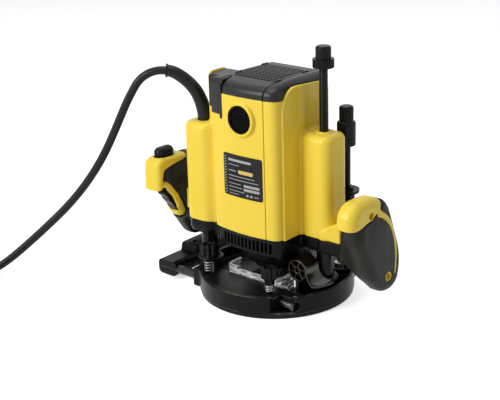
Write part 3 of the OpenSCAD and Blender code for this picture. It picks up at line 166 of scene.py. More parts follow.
YELLOW = moulded("yellow_plastic", srgb(235, 203, 56), srgb(240, 209, 68), 0.36, 3200.0, 0.00003,
                 coat=0.1, shine=0.3)
INK = moulded("deep_black", srgb(4, 4, 4), srgb(7, 7, 8), 0.16, 2400.0, 0.00002, shine=0.03)
BLACK = moulded("black_plastic", srgb(12, 12, 12), srgb(17, 17, 16), 0.3, 3000.0, 0.00004, shine=0.14)
CAP = moulded("satin_black", srgb(20, 20, 22), srgb(27, 27, 29), 0.34, 2600.0, 0.00004, shine=0.27)
# Its brown tint is a painted reflection of the yellow body
GLOSS = moulded("gloss_black", srgb(17, 14, 8), srgb(28, 22, 12), 0.14, 900.0, 0.00002, coat=0.2, shine=0.4)
CAST = moulded("black_casting", srgb(9, 9, 8), srgb(16, 16, 15), 0.3, 1500.0, 0.00012,
               dust=srgb(52, 52, 48), shine=0.1)
# Casting whose convex edges are lighter: rubbed paint and a painted highlight
WORN_HIGHLIT_CAST = moulded("worn_highlit_casting", srgb(9, 9, 8), srgb(16, 16, 15), 0.3, 1500.0, 0.00012,
                    dust=srgb(52, 52, 48), shine=0.1, wear_and_highlight=srgb(140, 140, 130))
BLACK_STEEL = moulded("black_steel", srgb(8, 8, 8), srgb(15, 15, 15), 0.24, 1800.0, 0.00003, shine=0.14)
BURNISHED = moulded("burnished_steel", srgb(58, 58, 61), srgb(80, 80, 83), 0.2, 2000.0, 0.00003, metallic=1.0)
STEEL = moulded("ground_steel", srgb(150, 150, 152), srgb(186, 186, 188), 0.26, 2400.0, 0.00003, metallic=1.0)
BRASS = moulded("turned_brass", srgb(176, 141, 58), srgb(196, 160, 76), 0.3, 2400.0, 0.00003, metallic=1.0)
RUBBER = moulded("grip_rubber", srgb(24, 25, 22), srgb(33, 34, 30), 0.5, 2600.0, 0.00006,
                 pebble=0.00016, shine=0.18)
CORD = moulded("cord_rubber", srgb(14, 15, 15), srgb(21, 22, 22), 0.36, 1800.0, 0.00005, shine=0.2)
PALE = moulded("pale_print", srgb(150, 150, 148), srgb(172, 172, 168), 0.45, 3000.0, 0.00002)
GOLD = moulded("gold_print", srgb(206, 170, 90), srgb(216, 184, 108), 0.4, 3000.0, 0.00002)
LABEL = moulded("label_black", srgb(14, 15, 20), srgb(20, 21, 27), 0.3, 1200.0, 0.00001, shine=0.2)


def clear_plastic():
    """Clear moulded plastic with whiter, less clear streaks, a painted stand-in for refraction glints, so
    that its walls show.
    """
    n = Nodes("clear_plastic")
    bsdf = n.add("ShaderNodeBsdfPrincipled", IOR=1.49)
    stretch = n.add("ShaderNodeMapping", vector_type="POINT")
    stretch.inputs["Scale"].default_value = (60, 160, 420)
    n.link(n.coords, stretch.inputs["Vector"])
    # Painted glints: streaks where the plastic turns whiter and less clear
    glint_streaks = n.noise(1.0, 4.0, 0.65, stretch.outputs["Vector"])
    n.link(n.ramp(glint_streaks, 0.95, 0.1, 0.44, 0.56), bsdf.inputs["Transmission Weight"])
    n.link(n.mix(glint_streaks, (0.82, 0.85, 0.86), (0.95, 0.96, 0.96)), bsdf.inputs["Base Color"])
    n.link(n.ramp(n.noise(400.0), 0.03, 0.14), bsdf.inputs["Roughness"])
    n.link(n.bump(n.voronoi(260.0), 0.0016, 0.8), bsdf.inputs["Normal"])
    n.link(bsdf.outputs["BSDF"], n.out.inputs["Surface"])
    return n.mat


CLEAR = clear_plastic()

PAINT = {
    YELLOW: ["motor_housing", "left_handle", "right_handle"],
    CAP: ["top_cap", "switch_box_cover"],
    INK: ["brush_caps"],
    BLACK: ["trigger", "lock_button", "plunge_lever", "height_knob", "thumb_screw_front_left",
            "thumb_screw_front_right", "thumb_screw_rear_left", "thumb_screw_rear_right", "depth_holder",
            "depth_barrel", "depth_knob", "depth_lock_wheel", "fan", "sole_plate", "depth_turret", "plug"],
    GLOSS: ["dust_chute"],
    CAST: ["base", "motor_bracket", "bearing_neck", "guide_bar"],
    BLACK_STEEL: ["height_rod", "depth_rod", "guide_rods", "left_column", "right_column"],
    STEEL: ["sole_screws", "plunge_springs", "thumb_screw_springs", "turret_screws", "turret_pivot",
            "bracket_screws", "stator", "lower_bearing", "upper_bearing", "spindle", "armature", "collet",
            "collet_nut", "handle_screws"],
    BRASS: ["brush_holders", "column_bushes", "commutator"],
    RUBBER: ["left_grip", "right_grip", "carbon_brushes"],
    CORD: ["cord_guard", "cord", "cord_coil", "cord_tie"],
    CLEAR: ["chip_deflector"],
}
for material, names in PAINT.items():
    for name in names:
        mesh = NODES[name].data
        mesh.materials.clear()
        mesh.materials.append(material)

# Edges of the solids that stay: a small round, as moulding and casting leave
ROUNDS = {0.6: ["guide_bar", "sole_plate"],
          0.4: ["height_knob", "depth_knob", "depth_lock_wheel", "depth_barrel", "depth_holder",
                "plunge_lever", "depth_turret", "brush_caps", "left_column", "right_column"]}
for width, names in ROUNDS.items():
    for name in names:
        bevel = NODES[name].modifiers.new("round", "BEVEL")
        bevel.width = width * MM
        bevel.segments = 2
        bevel.limit_method = "ANGLE"
        bevel.angle_limit = math.radians(40)


# Mesh helpers: points in millimetres
def piece(name, parts, material, body, slot, *nodes):
    """One visible piece: the body that it rides, its material slot (not used) and the CAD nodes that it
    replaces.
    """
    mesh = parts.mesh(name)
    obj = bpy.data.objects.new(name, mesh)
    scene.collection.objects.link(obj)
    mesh.materials.append(material)
    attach(obj, body)
    if nodes:
        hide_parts(*nodes)


def circle(a, b, k, sides):
    """Corner k of a regular outline in the plane of two directions."""
    return a * math.cos(math.tau * k / sides) + b * math.sin(math.tau * k / sides)


class Parts:
    """Several closed shells gathered into one mesh, smooth over edges up to an angle in degrees."""

    def __init__(self, angle=40):
        self.points, self.faces, self.angle = [], [], angle

    def add(self, points, faces):
        start = len(self.points)
        self.points += [tuple(p) for p in points]
        self.faces += [tuple(i + start for i in f) for f in faces]

    def rings(self, rings, closed=False):
        """A skin over rings of equal length: ends filled, or joined where closed."""
        n = len(rings[0])
        faces = []
        count = len(rings)
        for i in range(count if closed else count - 1):
            a, b = i * n, (i + 1) % count * n
            faces += [(a + k, a + (k + 1) % n, b + (k + 1) % n, b + k) for k in range(n)]
        if not closed:
            faces += [tuple(reversed(range(n))), tuple(range((count - 1) * n, count * n))]
        self.add([p for ring in rings for p in ring], faces)

    def lathe(self, profile, origin, axis=(0, 0, 1), sides=48):
        """Turn a closed profile of (radius, height) about an axis."""
        axis = Vector(axis)
        a = axis.orthogonal().normalized()
        b = axis.cross(a)
        rings = [[Vector(origin) + axis * h + r * circle(a, b, k, sides) for r, h in profile]
                 for k in range(sides)]
        self.rings(rings, closed=True)

    def prism(self, loop, to_space, low, high, round_off=0.0, steps=3):
        """A plate over a flat outline, its two edges rounded. to_space turns (u, v, height) into a place."""
        loop = np.asarray(loop, dtype=float)
        if loop_area(loop) < 0:
            loop = loop[::-1]
        layers = []
        for s in range(steps + 1):
            a = math.pi / 2 * s / steps
            layers.append((round_off * (1 - math.sin(a)), low + round_off * (1 - math.cos(a))))
        layers += [(inset, low + high - h) for inset, h in reversed(layers)]
        self.rings([[to_space(u, v, h) for u, v in shrink(loop, inset)] for inset, h in layers])

    def tube(self, path, radii, sides=12):
        self.rings(tube_rings(path, radii, sides))

    def mesh(self, name):
        mesh = bpy.data.meshes.new(name)
        mesh.from_pydata((np.asarray(self.points, dtype=float) * MM).tolist(), [], self.faces)
        mesh.validate()
        bm = bmesh.new()
        bm.from_mesh(mesh)
        bmesh.ops.recalc_face_normals(bm, faces=bm.faces)
        limit = math.radians(self.angle)
        for face in bm.faces:
            face.smooth = True
        for edge in bm.edges:
            edge.smooth = len(edge.link_faces) != 2 or edge.calc_face_angle(0) <= limit
        bm.to_mesh(mesh)
        bm.free()
        return mesh


def loop_area(loop):
    nxt = np.roll(loop, -1, axis=0)
    return 0.5 * float(np.sum(loop[:, 0] * nxt[:, 1] - nxt[:, 0] * loop[:, 1]))


def shrink(loop, inset):
    """Move each point of a counterclockwise outline inwards."""
    if inset == 0:
        return loop
    a = loop - np.roll(loop, 1, axis=0)
    b = np.roll(loop, -1, axis=0) - loop
    na = np.stack([-a[:, 1], a[:, 0]], 1) / np.linalg.norm(a, axis=1, keepdims=True)
    nb = np.stack([-b[:, 1], b[:, 0]], 1) / np.linalg.norm(b, axis=1, keepdims=True)
    mid = na + nb
    mid /= np.maximum(np.sum(mid * na, axis=1, keepdims=True), 0.2)
    return loop + inset * mid


def box_loop(u0, v0, u1, v1):
    return [(u0, v0), (u1, v0), (u1, v1), (u0, v1)]


def box(u0, v0, u1, v1, r):
    """Corners of a box with one radius, for rounded()."""
    return [(u, v, r) for u, v in box_loop(u0, v0, u1, v1)]


def rounded(edge, steps=6):
    """Outline with round corners: each entry holds a corner's place and its radius."""
    out = []
    for i, (x, y, r) in enumerate(edge):
        p = np.array((x, y), dtype=float)
        a = np.array(edge[i - 1][:2]) - p
        b = np.array(edge[(i + 1) % len(edge)][:2]) - p
        a, b = a / np.linalg.norm(a), b / np.linalg.norm(b)
        half = math.acos(max(-1.0, min(1.0, float(a @ b)))) / 2
        mid = p + (a + b) / np.linalg.norm(a + b) * r / math.sin(half)
        start, stop = (p + d * r / math.tan(half) - mid for d in (a, b))
        s = math.atan2(start[1], start[0])
        sweep = (math.atan2(stop[1], stop[0]) - s + 3 * math.pi) % math.tau - math.pi
        out += [mid + r * np.array((math.cos(s + sweep * k / steps), math.sin(s + sweep * k / steps)))
                for k in range(steps + 1)]
    return np.array(out)


def smooth_path(points, steps):
    """Catmull-Rom curve through the points."""
    out = []
    for i in range(len(points) - 1):
        a, b, c, d = (points[max(0, min(len(points) - 1, i + k))] for k in (-1, 0, 1, 2))
        for s in range(steps):
            t = s / steps
            out.append(0.5 * (2 * b + (c - a) * t + (2 * a - 5 * b + 4 * c - d) * t ** 2
                              + (3 * b - a - 3 * c + d) * t ** 3))
    out.append(points[-1].copy())
    return out


def tube_rings(path, radii, sides):
    """Rings along a path, their frame carried along without twist."""
    across = (path[1] - path[0]).orthogonal().normalized()
    rings = []
    for i, p in enumerate(path):
        t = (path[min(i + 1, len(path) - 1)] - path[max(i - 1, 0)]).normalized()
        across = (across - t * across.dot(t)).normalized()
        other = t.cross(across)
        r = radii[i] if hasattr(radii, "__len__") else radii
        rings.append([p + r * circle(across, other, k, sides) for k in range(sides)])
    return rings


# Cord: the route's points of the CAD source, as one tube from the guard to the plug
CORD_D = 9.0
LIE_Z = CORD_D / 2 + 0.8
COIL_START = 306
BLEND_END = (234, 20.5)
CORD_DIR = Vector((-196, -143, 0)).normalized()
CORD_SIDE = Vector((0, 0, 1)).cross(CORD_DIR)
CORD_FROM = Vector((-70, -30, 0))
POD_TOP = 187.0


def on_route(s, z):
    return CORD_FROM + CORD_DIR * s + Vector((0, 0, z))


GUARD = [(0, -6), (0, 0), (1, 9.5), (3.8, 20.5), (9, 31.8), (17.6, 42), (27, 49.2), (34.3, 52.6), (40, 53.4)]
ROUTE = [(40, 53.4 + POD_TOP), (44.5, 240.64), (50, 240.1), (55.75, 238.5), (61.2, 235.9), (66.1, 232.45),
         (70.3, 228.2), (73.8, 223.35), (79.7, 213.4), (86, 201.5), (95.5, 181.5), (105.5, 161), (116.5, 141),
         (129.5, 121.5), (144, 103), (161, 84.5), (180, 66.5), (200, 48.5), (221, 30.5), BLEND_END,
         (244, 13.8), (254, 9), (264, 6.6), (276, LIE_Z + 0.2), (290, LIE_Z), (COIL_START, LIE_Z)]
COIL_TURNS, COIL_RINGS, COIL_R, COIL_PITCH = 3, 24, 67.0, CORD_D + 0.6
COIL_EXTRA = 0.375
coil_mid = on_route(COIL_START, LIE_Z) + COIL_R * CORD_SIDE
coil_inner = COIL_R - COIL_TURNS * COIL_PITCH


def coil_point(t):
    r = coil_inner + abs(t - COIL_TURNS) * COIL_PITCH
    a = math.tau * t
    e = max(0.0, min(1.0, 2 * (t - COIL_TURNS + 0.25)))
    return (coil_mid + r * (CORD_DIR * math.sin(a) - CORD_SIDE * math.cos(a))
            + Vector((0, 0, e * e * (3 - 2 * e) * COIL_PITCH)))


coil_last = 2 * COIL_TURNS + COIL_EXTRA
tail_turn = math.tau * COIL_EXTRA
tail_dir = CORD_DIR * math.cos(tail_turn) + CORD_SIDE * math.sin(tail_turn)
route = [on_route(*p) for p in ROUTE]
route += [coil_point(i / COIL_RINGS) for i in range(1, round(coil_last * COIL_RINGS) + 1)]
route += [coil_point(coil_last) + tail_dir * CORD_D, coil_point(coil_last) + tail_dir * CORD_D * 2]
path = smooth_path(route, 2)
cord_parts = Parts()
cord_parts.tube(path, CORD_D / 2, 14)
cord_obj = bpy.data.objects.new("mains_cord", cord_parts.mesh("mains_cord"))
scene.collection.objects.link(cord_obj)
cord_obj.data.materials.append(CORD)
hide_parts("cord", "cord_coil")
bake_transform(cord_obj)

# Guard of the cord: a tapered sleeve with a lip at its end
guard_path = smooth_path([on_route(s, z + POD_TOP) for s, z in GUARD], 10)
GUARD_R, GUARD_TAPER, GUARD_PLAIN = 8.0, 1.9, 0.12
GUARD_LIP = (6.6, 7.5, 7.6, 7.5, 6.6, 5.2)
guard_r = []
for i in range(len(guard_path)):
    t = i / (len(guard_path) - 1)
    guard_r.append(GUARD_R - GUARD_TAPER * max(0.0, t - GUARD_PLAIN) / (1 - GUARD_PLAIN))
guard_r[-len(GUARD_LIP):] = GUARD_LIP
guard = Parts()
guard.tube(guard_path, guard_r, 28)
piece("cord_sleeve", guard, CORD, "motor", "cord_rubber", "cord_guard")


# Solids from distance functions: negative inside, in millimetres
def outline(loop):
    """Signed distance to a closed flat outline."""
    loop = np.asarray(loop, dtype=float)
    edges = list(zip(loop, np.roll(loop, -1, axis=0)))

    def distance(u, v):
        best, inside = None, None
        for (ax, ay), (bx, by) in edges:
            ex, ey = bx - ax, by - ay
            if ex == 0 and ey == 0:
                continue
            wx, wy = u - ax, v - ay
            t = np.clip((wx * ex + wy * ey) / (ex * ex + ey * ey), 0, 1)
            d = (wx - ex * t) ** 2 + (wy - ey * t) ** 2
            best = d if best is None else np.minimum(best, d)
            crosses = ((ay <= v) != (by <= v)) & (u < ax + wy * ex / (ey or 1e-9))
            inside = crosses if inside is None else inside ^ crosses
        return np.where(inside, -1.0, 1.0) * np.sqrt(best)
    return distance


def most(*distances):
    return reduce(np.maximum, distances)


def least(*distances):
    return reduce(np.minimum, distances)


def round_edge(a, b, r):
    """What two faces leave where they meet in an edge of radius r."""
    a, b = a + r, b + r
    return np.minimum(np.maximum(a, b), 0) + np.hypot(np.maximum(a, 0), np.maximum(b, 0)) - r


def pad(d, w, half, r):
    """A slab over an outline at distance d, its faces at w = -half and half, its edges round."""
    return round_edge(d, np.abs(w) - half, r)


def topped(d, z, low, high, r):
    """A post over an outline at distance d, round at its top edge only."""
    return np.maximum(round_edge(d, z - high, r), low - z)


def join(a, b, k):
    """Both solids, with a soft blend of width k where they join."""
    h = np.maximum(k - np.abs(a - b), 0)
    return np.minimum(a, b) - h * h / (4 * k)


def meet(a, b, k):
    """What two solids share, with soft edges."""
    return -join(-a, -b, k)


def block(x, y, z, low, high, r=0.0):
    """A box between two corners, with round edges."""
    gaps = [np.abs(p - (a + b) / 2) - (b - a) / 2 + r for p, a, b in zip((x, y, z), low, high)]
    out = np.sqrt(sum(np.maximum(g, 0) ** 2 for g in gaps))
    return np.minimum(most(*gaps), 0) + out - r


def net(f, low, high, step):
    """Surface of a distance function: one point for each cell that the surface crosses, drawn on to it."""
    axes = [np.arange(a, b + step, step) for a, b in zip(low, high)]
    d = np.broadcast_to(f(axes[0][:, None, None], axes[1][None, :, None], axes[2][None, None, :]),
                        [len(a) for a in axes])
    inside = d < 0
    corners = [inside[i:len(axes[0]) - 1 + i, j:len(axes[1]) - 1 + j, k:len(axes[2]) - 1 + k]
               for i in (0, 1) for j in (0, 1) for k in (0, 1)]
    total = sum(c.astype(np.int8) for c in corners)
    mixed = (total > 0) & (total < 8)
    index = np.full(mixed.shape, -1)
    index[mixed] = np.arange(mixed.sum())
    start = np.array([a[0] for a in axes])
    points = start + (np.argwhere(mixed) + 0.5) * step
    quads = []
    for axis in range(3):
        a = np.moveaxis(inside, axis, 0)
        cell = np.moveaxis(index, axis, 0)
        flips = a[:-1, 1:-1, 1:-1] != a[1:, 1:-1, 1:-1]
        i, j, k = np.nonzero(flips)
        quad = np.stack([cell[i, j, k], cell[i, j + 1, k], cell[i, j + 1, k + 1], cell[i, j, k + 1]], 1)
        turned = a[:-1, 1:-1, 1:-1][flips] == (axis != 1)
        quad[~turned] = quad[~turned][:, ::-1]
        quads.append(quad)
    quads = np.concatenate(quads)
    near = np.zeros((len(points), 3))
    count = np.bincount(quads.ravel(), minlength=len(points))[:, None]
    h = 0.05
    for sweep in range(3):
        if sweep:
            near[:] = 0
            middle = points[quads].mean(axis=1)
            for c in range(4):
                np.add.at(near, quads[:, c], middle)
            points = 0.5 * points + 0.5 * near / np.maximum(count, 1)
        for _ in range(1 + sweep // 2):
            value = f(*points.T)
            slope = np.stack([f(*(points + s).T) - f(*(points - s).T) for s in np.eye(3) * h], 1) / (2 * h)
            slope /= np.maximum(np.sum(slope ** 2, axis=1, keepdims=True), 0.05)
            points = points - np.clip(value[:, None] * slope, -step, step)
    return points, quads.tolist()


def skin(f, low, high, step, angle=50):
    parts = Parts(angle)
    parts.add(*net(f, low, high, step))
    return parts


# Handles, drawn from the side: u front to back, v height, w distance out from the middle
HALF, EDGE, LEAN = 12.2, 10.0, 1.8
HANDLE_X, HANDLE_Y, RIGHT_Z, LEFT_Z = 126, -8, 82, 86
WELL_R, WELL_FLOOR, BOSS_R, BOSS_BORE = 5.4, 5.2, 5.2, 3.9
TRIGGER_HALF, TRIGGER_ROOM, BUTTON_U, SLACK = 7, 7.4, -33.5, 0.35
R_GRIP = outline(rounded([(-6, -37, 40), (15, -57.5, 22), (39, -54.5, 19), (47.3, -22, 60), (18.5, 52, 30),
                          (-26, 54, 8), (-33, 11, 12)]))
R_NOSE = outline(rounded([(-38, 18, 10), (22, 14, 10), (18.5, 55, 30), (-43, 54.5, 19), (-44, 25, 12)]))
R_CAP = outline(rounded([(-60, 27, 0.5), (-30, 27.5, 8), (-17, 30.5, 6), (-8, 32.5, 3), (-2, 36, 3),
                         (4, 38, 2), (6.5, 43, 3), (16, 47.5, 3), (30, 60, 1), (-60, 80, 1)]))
L_GRIP = outline(rounded([(0.5, -51, 18), (32, -52, 18), (44, -12, 38), (16, 51, 26), (-43, 51, 8),
                          (-43, 13, 4)]))
L_NOSE = outline(rounded([(-57, -0.6, 6), (-30, 2, 2), (20, 14, 8), (12, 52, 24), (-46, 54, 8),
                          (-54.5, 50, 7)]))
L_CAP = outline(rounded([(-60, -4, 0.5), (-50, -4, 0.5), (-48, 30, 4), (-45.5, 40.5, 4), (-29, 44.2, 8),
                         (-15, 45.8, 6), (-9, 48, 3), (-10, 54, 3), (-20, 80, 1), (-60, 80, 1)]))
L_FRAME = outline(rounded([(-60, 24, 1), (-47, 27, 3), (-39, 26, 5), (-23, 5.5, 16), (-14, -13, 8),
                           (-15.5, -25, 6), (-60, -11.5, 1)]))
L_WINDOW = outline(rounded([(-62, 16, 1), (-45, 21, 4), (-32, 6.3, 14), (-25.5, -7, 4), (-27, -12, 3),
                            (-62, -5.5, 1)]))
TRIGGER = outline(rounded([(-43, 12, 3), (-34, 20, 4), (-15, -6, 5), (-15, -13, 3), (-22.5, -14, 3)]))
R_SCREWS = [(-11.8, 37.5), (19.5, -38)]
L_SCREWS = [(-13, 38), (16, -37)]


def bow(t):
    """Middle of the right handle's stripe."""
    a, b, c = np.array((0, 37)), np.array((39, 20)), np.array((31, -38))
    return (1 - t) ** 2 * a + 2 * t * (1 - t) * b + t * t * c


def stripe_loop(steps=24, wide=3.6, taper=2.6):
    sides = ([], [])
    for i in range(steps + 1):
        t = i / steps
        p = bow(t)
        d = bow(t + 0.01) - p
        d /= np.linalg.norm(d)
        off = (wide - taper * t) * np.array((-d[1], d[0]))
        sides[0].append(p + off)
        sides[1].append(p - off)
    return np.array(sides[0] + sides[1][::-1])


STRIPE = outline(stripe_loop())


def right_place(x, y, z):
    return y - HANDLE_Y, z - RIGHT_Z, x - HANDLE_X


def left_place(x, y, z):
    return y - HANDLE_Y, z - LEFT_Z, -x - HANDLE_X


def left_root(u, v, w):
    return block(u, v, w, (-20, -20, -19.9), (6, 22, 0), 5)


def right_root(u, v, w):
    """The neck at the arm: its inner end leans out towards the top."""
    lean = 0.13 * (v + 20)
    return block(u, v, w - lean, (-8, -27, -33), (15, 20, 0), 6)


def wells(d, u, v, w, screws, r):
    for a, b in screws:
        d = meet(d, -np.maximum(np.hypot(u - a, v - b) - r, WELL_FLOOR - w), 0.6)
    return d


def bosses(d, u, v, w, screws, body):
    """Rings of the shell that line the screw holes."""
    for a, b in screws:
        d = np.minimum(d, most(np.hypot(u - a, v - b) - BOSS_R, 3 - w, body + SLACK))
    return wells(d, u, v, w, screws, BOSS_BORE)


def right_shell(x, y, z):
    u, v, w = right_place(x, y, z)
    grip = pad(R_GRIP(u, v), w - LEAN, HALF, EDGE)
    nose = meet(pad(R_NOSE(u, v), w - LEAN, HALF, EDGE), R_CAP(u, v) + 0.1, 4)
    band = meet(grip, STRIPE(u, v), 0.8)
    return bosses(join(nose, band, 2), u, v, w, R_SCREWS, grip)


def right_rubber(x, y, z):
    u, v, w = right_place(x, y, z)
    d = join(pad(R_GRIP(u, v), w - LEAN, HALF, EDGE), right_root(u, v, w), 18)
    d = meet(d, 0.2 - R_CAP(u, v), 1.2)
    d = meet(d, 0.15 - STRIPE(u, v), 0.7)
    return wells(d, u, v, w, R_SCREWS, WELL_R)


def trigger_room(u, v, w):
    """Room that the trigger sweeps, and the open window in front of it."""
    swept = least(*(TRIGGER(u - travel, v) for travel in (-12, -8, -4, 0, 3, 6.3)))
    return np.minimum(np.maximum(swept - SLACK, np.abs(w + LEAN) - TRIGGER_ROOM), L_WINDOW(u, v))


def stadium(u, w):
    """Plan of the lock button."""
    return np.hypot(np.maximum(np.abs(u - BUTTON_U) - 5.2, 0), w + LEAN) - 7.3


def button_room(u, v, w):
    plan = stadium(u, w)
    return np.minimum(np.maximum(plan - SLACK, 47.6 - v), np.maximum(plan + 2.1, 38.6 - v))


def left_shell(x, y, z):
    u, v, w = left_place(x, y, z)
    grip = pad(L_GRIP(u, v), w + LEAN, HALF, EDGE)
    nose = meet(pad(L_NOSE(u, v), w + LEAN, HALF, 5.5), L_CAP(u, v) + 0.1, 2.5)
    ring = meet(grip, L_FRAME(u, v) + 0.1, 3)
    d = meet(join(nose, ring, 3), -trigger_room(u, v, w), 1.6)
    d = meet(d, -button_room(u, v, w), 0.8)
    return bosses(d, u, v, w, L_SCREWS, grip)


def left_rubber(x, y, z):
    u, v, w = left_place(x, y, z)
    d = join(pad(L_GRIP(u, v), w + LEAN, HALF, EDGE), left_root(u, v, w), 12)
    d = meet(d, 0.2 - L_CAP(u, v), 1.2)
    d = meet(d, 0.2 - L_FRAME(u, v), 1.2)
    d = meet(d, -trigger_room(u, v, w), 1)
    d = meet(d, -button_room(u, v, w), 1)
    return wells(d, u, v, w, L_SCREWS, WELL_R)


def trigger_form(x, y, z):
    u, v, w = left_place(x, y, z)
    d = pad(TRIGGER(u, v), w + LEAN, TRIGGER_HALF, 3)
    for a, b in ((-41.5, 1.5), (-33, -10)):
        d = meet(d, 6 - np.hypot(u - a, v - b), 1.5)
    return d


def button_form(x, y, z):
    u, v, w = left_place(x, y, z)
    plan = stadium(u, w)
    pebble = pad(plan, v - 57.6, 6.2, 6.1)
    return join(pebble, np.maximum(plan + 2.5, np.abs(v - 49) - 6), 1)


HANDLES = {"right": (right_shell, right_rubber, (88, -54, 18), (142, 46, 138)),
           "left": (left_shell, left_rubber, (-142, -68, 32), (-104.5, 40, 142))}
for side, (core, rubber, low, high) in HANDLES.items():
    piece(side + "_handle_shell", skin(core, low, high, 1.0), YELLOW, "motor", "yellow_shell",
          side + "_handle")
    piece(side + "_handle_rubber", skin(rubber, low, high, 1.0), RUBBER, "motor", "grip_rubber",
          side + "_grip")
piece("trigger_key", skin(trigger_form, (-138, -56, 68), (-114, -20, 108), 0.8), BLACK, "trigger",
      "black_plastic", "trigger")
piece("lock_pebble", skin(button_form, (-136, -58, 126), (-116, -24, 154), 0.8), BLACK, "lock_button",
      "black_plastic", "lock_button")


# Motor housing: body, column housings, switch chamber and arms in one piece
FRONT_R, FRONT_Y = 187.4, 135.4
SEAM_X = 28.0
CAP_Z, TOP_Z = 226.0, 243.0
COVER_Z, BRUSH_Z = 203.0, 203.0
BODY_LOW, POD_Z = 77, 77.5
MOTOR_R, DRILL_LOW = 38, 70
RIGHT_POD, LEFT_POD = (64, 3), (-70, -30)
BODY_SIDES = outline(rounded([(-44.8, -70, 0.5), (43, -70, 0.5), (43, 46, 13), (-44.8, 46, 13)]))
POD = outline(rounded(box(-18.5, -18.5, 18.5, 18.5, 11)))
CHAMBER = outline(rounded([(-36, -36, 2), (-36, 34, 2), (-60, 34, 6), (-60, -36, 6)]))
LEFT_PANEL = outline(rounded([(-32, 147, 4), (30, 147, 4), (30, 197, 12), (-6, 241, 10), (-32, 241, 6)]))
RIGHT_PANEL = outline(rounded([(-39, 76, 0.5), (37, 76, 0.5), (37, 233, 10), (-39, 238.5, 22)]))


def front_y(x):
    """Front face of the body at a place across it."""
    return FRONT_Y - np.sqrt(FRONT_R ** 2 - x * x)


def cover_edge(y):
    """Seam between the cap and the switch box cover."""
    return np.interp(y, (-60, -37, -16, 60), (-26.5, -27.3, -33.5, -33.5))


def body_plan(x, y):
    return meet(BODY_SIDES(x, y), np.hypot(x, y - FRONT_Y) - FRONT_R, np.where(x > 0, 9.0, 3.0))


def post(x, y, z, at, r, low, high):
    """An upright cylinder."""
    return most(np.hypot(x - at[0], y - at[1]) - r, low - z, z - high)


def drill(d, x, y, z, at, r, low, high):
    """A solid less an upright cylinder."""
    return np.maximum(d, -post(x, y, z, at, r, low, high))


def brush_ring(x, y, z, face):
    """Collar round a brush cap; face is the distance out from the body's middle to the collar's front."""
    around = np.hypot(x, z - BRUSH_Z)
    return pad(np.abs(around - 16.4) - 2.1, np.abs(y) - face + 4, 4, 1.9)


def right_arm(x, y, z):
    rise = (z - 88 - 0.79 * (x - 78)) * 0.785
    return meet(block(x, y, z, (72, -16, POD_Z), (98, 8, 110), 2), rise, 2.5)


def housing(x, y, z):
    body = most(body_plan(x, y), BODY_LOW - z, z - CAP_Z)
    body = np.maximum(body, -np.maximum(x - cover_edge(y), COVER_Z - z))
    chamber = most(CHAMBER(x, y), BODY_LOW - z, z - 205)
    d = join(body, chamber, 2)
    right, left = (topped(POD(x - at[0], y - at[1]), z, POD_Z, POD_TOP, 7) for at in (RIGHT_POD, LEFT_POD))
    collar = topped(np.hypot(x - RIGHT_POD[0], y - RIGHT_POD[1]) - 8, z, 180, 189, 1.2)
    right = join(right, collar, 2)
    right = join(right, right_arm(x, y, z), 4)
    right = join(right, block(x, y, z, (36, -8, BODY_LOW), (64, 15, 183), 2), 9)
    left = join(left, block(x, y, z, (-106, -28, POD_Z), (-74, -2, 101), 2), 4)
    left = join(left, block(x, y, z, (-70, -40, BODY_LOW), (-36, -18, 183), 2), 7)
    panel = pad(RIGHT_PANEL(y, z), x - 43, 2, 1.1)
    d = join(d, np.minimum(panel, pad(LEFT_PANEL(y, z), x + 60.5, 1.5, 0.9)), 1)
    d = join(join(d, right, 5), left, 4)
    d = join(d, np.where(y < 0, brush_ring(x, y, z, 55.2), brush_ring(x, y, z, 50.5)), 1.2)
    d = np.maximum(d, 75 - z)
    d = drill(d, x, y, z, (0, 0), MOTOR_R, DRILL_LOW, 214)
    d = drill(d, x, y, z, (0, 0), 13.1, 210, 230)
    for at in (RIGHT_POD, LEFT_POD):
        d = drill(d, x, y, z, at, 9.7, DRILL_LOW, 177)
        d = drill(d, x, y, z, at, 12.1, DRILL_LOW, 112)
    d = drill(d, x, y, z, RIGHT_POD, 4.9, DRILL_LOW, 200)
    d = drill(d, x, y, z, LEFT_POD, 8.1, 180, 200)
    return np.maximum(d, -np.maximum(np.hypot(x, z - BRUSH_Z) - 14.6, 46 - np.abs(y)))


def lever_pin(x, y, z):
    return most(np.hypot(x - LEFT_POD[0], z - 118) - 4, -16 - y, y + 2.5)


def housing_middle(x, y, z):
    """The housing left of the front seam, and all of its back."""
    seam = np.where(y < -38, x - SEAM_X + SLACK, -50.0)
    return meet(np.minimum(housing(x, y, z), lever_pin(x, y, z)), seam, 0.8)


def housing_side(x, y, z):
    """The front strip right of the seam."""
    return meet(np.maximum(housing(x, y, z), y + 37.2), SEAM_X + SLACK - x, 0.8)


shell = Parts(42)
shell.add(*net(housing_middle, (-109, -57, 73), (101, 53, 243), 1.25))
shell.add(*net(housing_side, (26, -52, 73), (47, -35, 230), 1.0))
piece("motor_shell", shell, YELLOW, "motor", "yellow_shell", "motor_housing")


# Cap over the motor, with an open grille
G_LEFT, G_NEAR, G_RIGHT, G_FAR = -29.0, -27.0, 23.0, 27.0
GRILLE_HOLE = outline(rounded(box(G_LEFT, G_NEAR, G_RIGHT, G_FAR, 3), 3))
GRILLE_CELLS, BAR_HALF, WEB_HALF = 12, 1.0, 0.55
CAP_SLOPE, SLOPE_FROM, CAP_GAP = 0.021, 52, 0.3


def crown(y):
    """Fall of the cap's top towards its front edge."""
    return 4.5 * np.clip((5 - y) / 50, 0, 1) ** 2


def cap_height(y, z):
    """Height measured along with the cap's slope from front to back."""
    return z + CAP_SLOPE * (y + SLOPE_FROM)


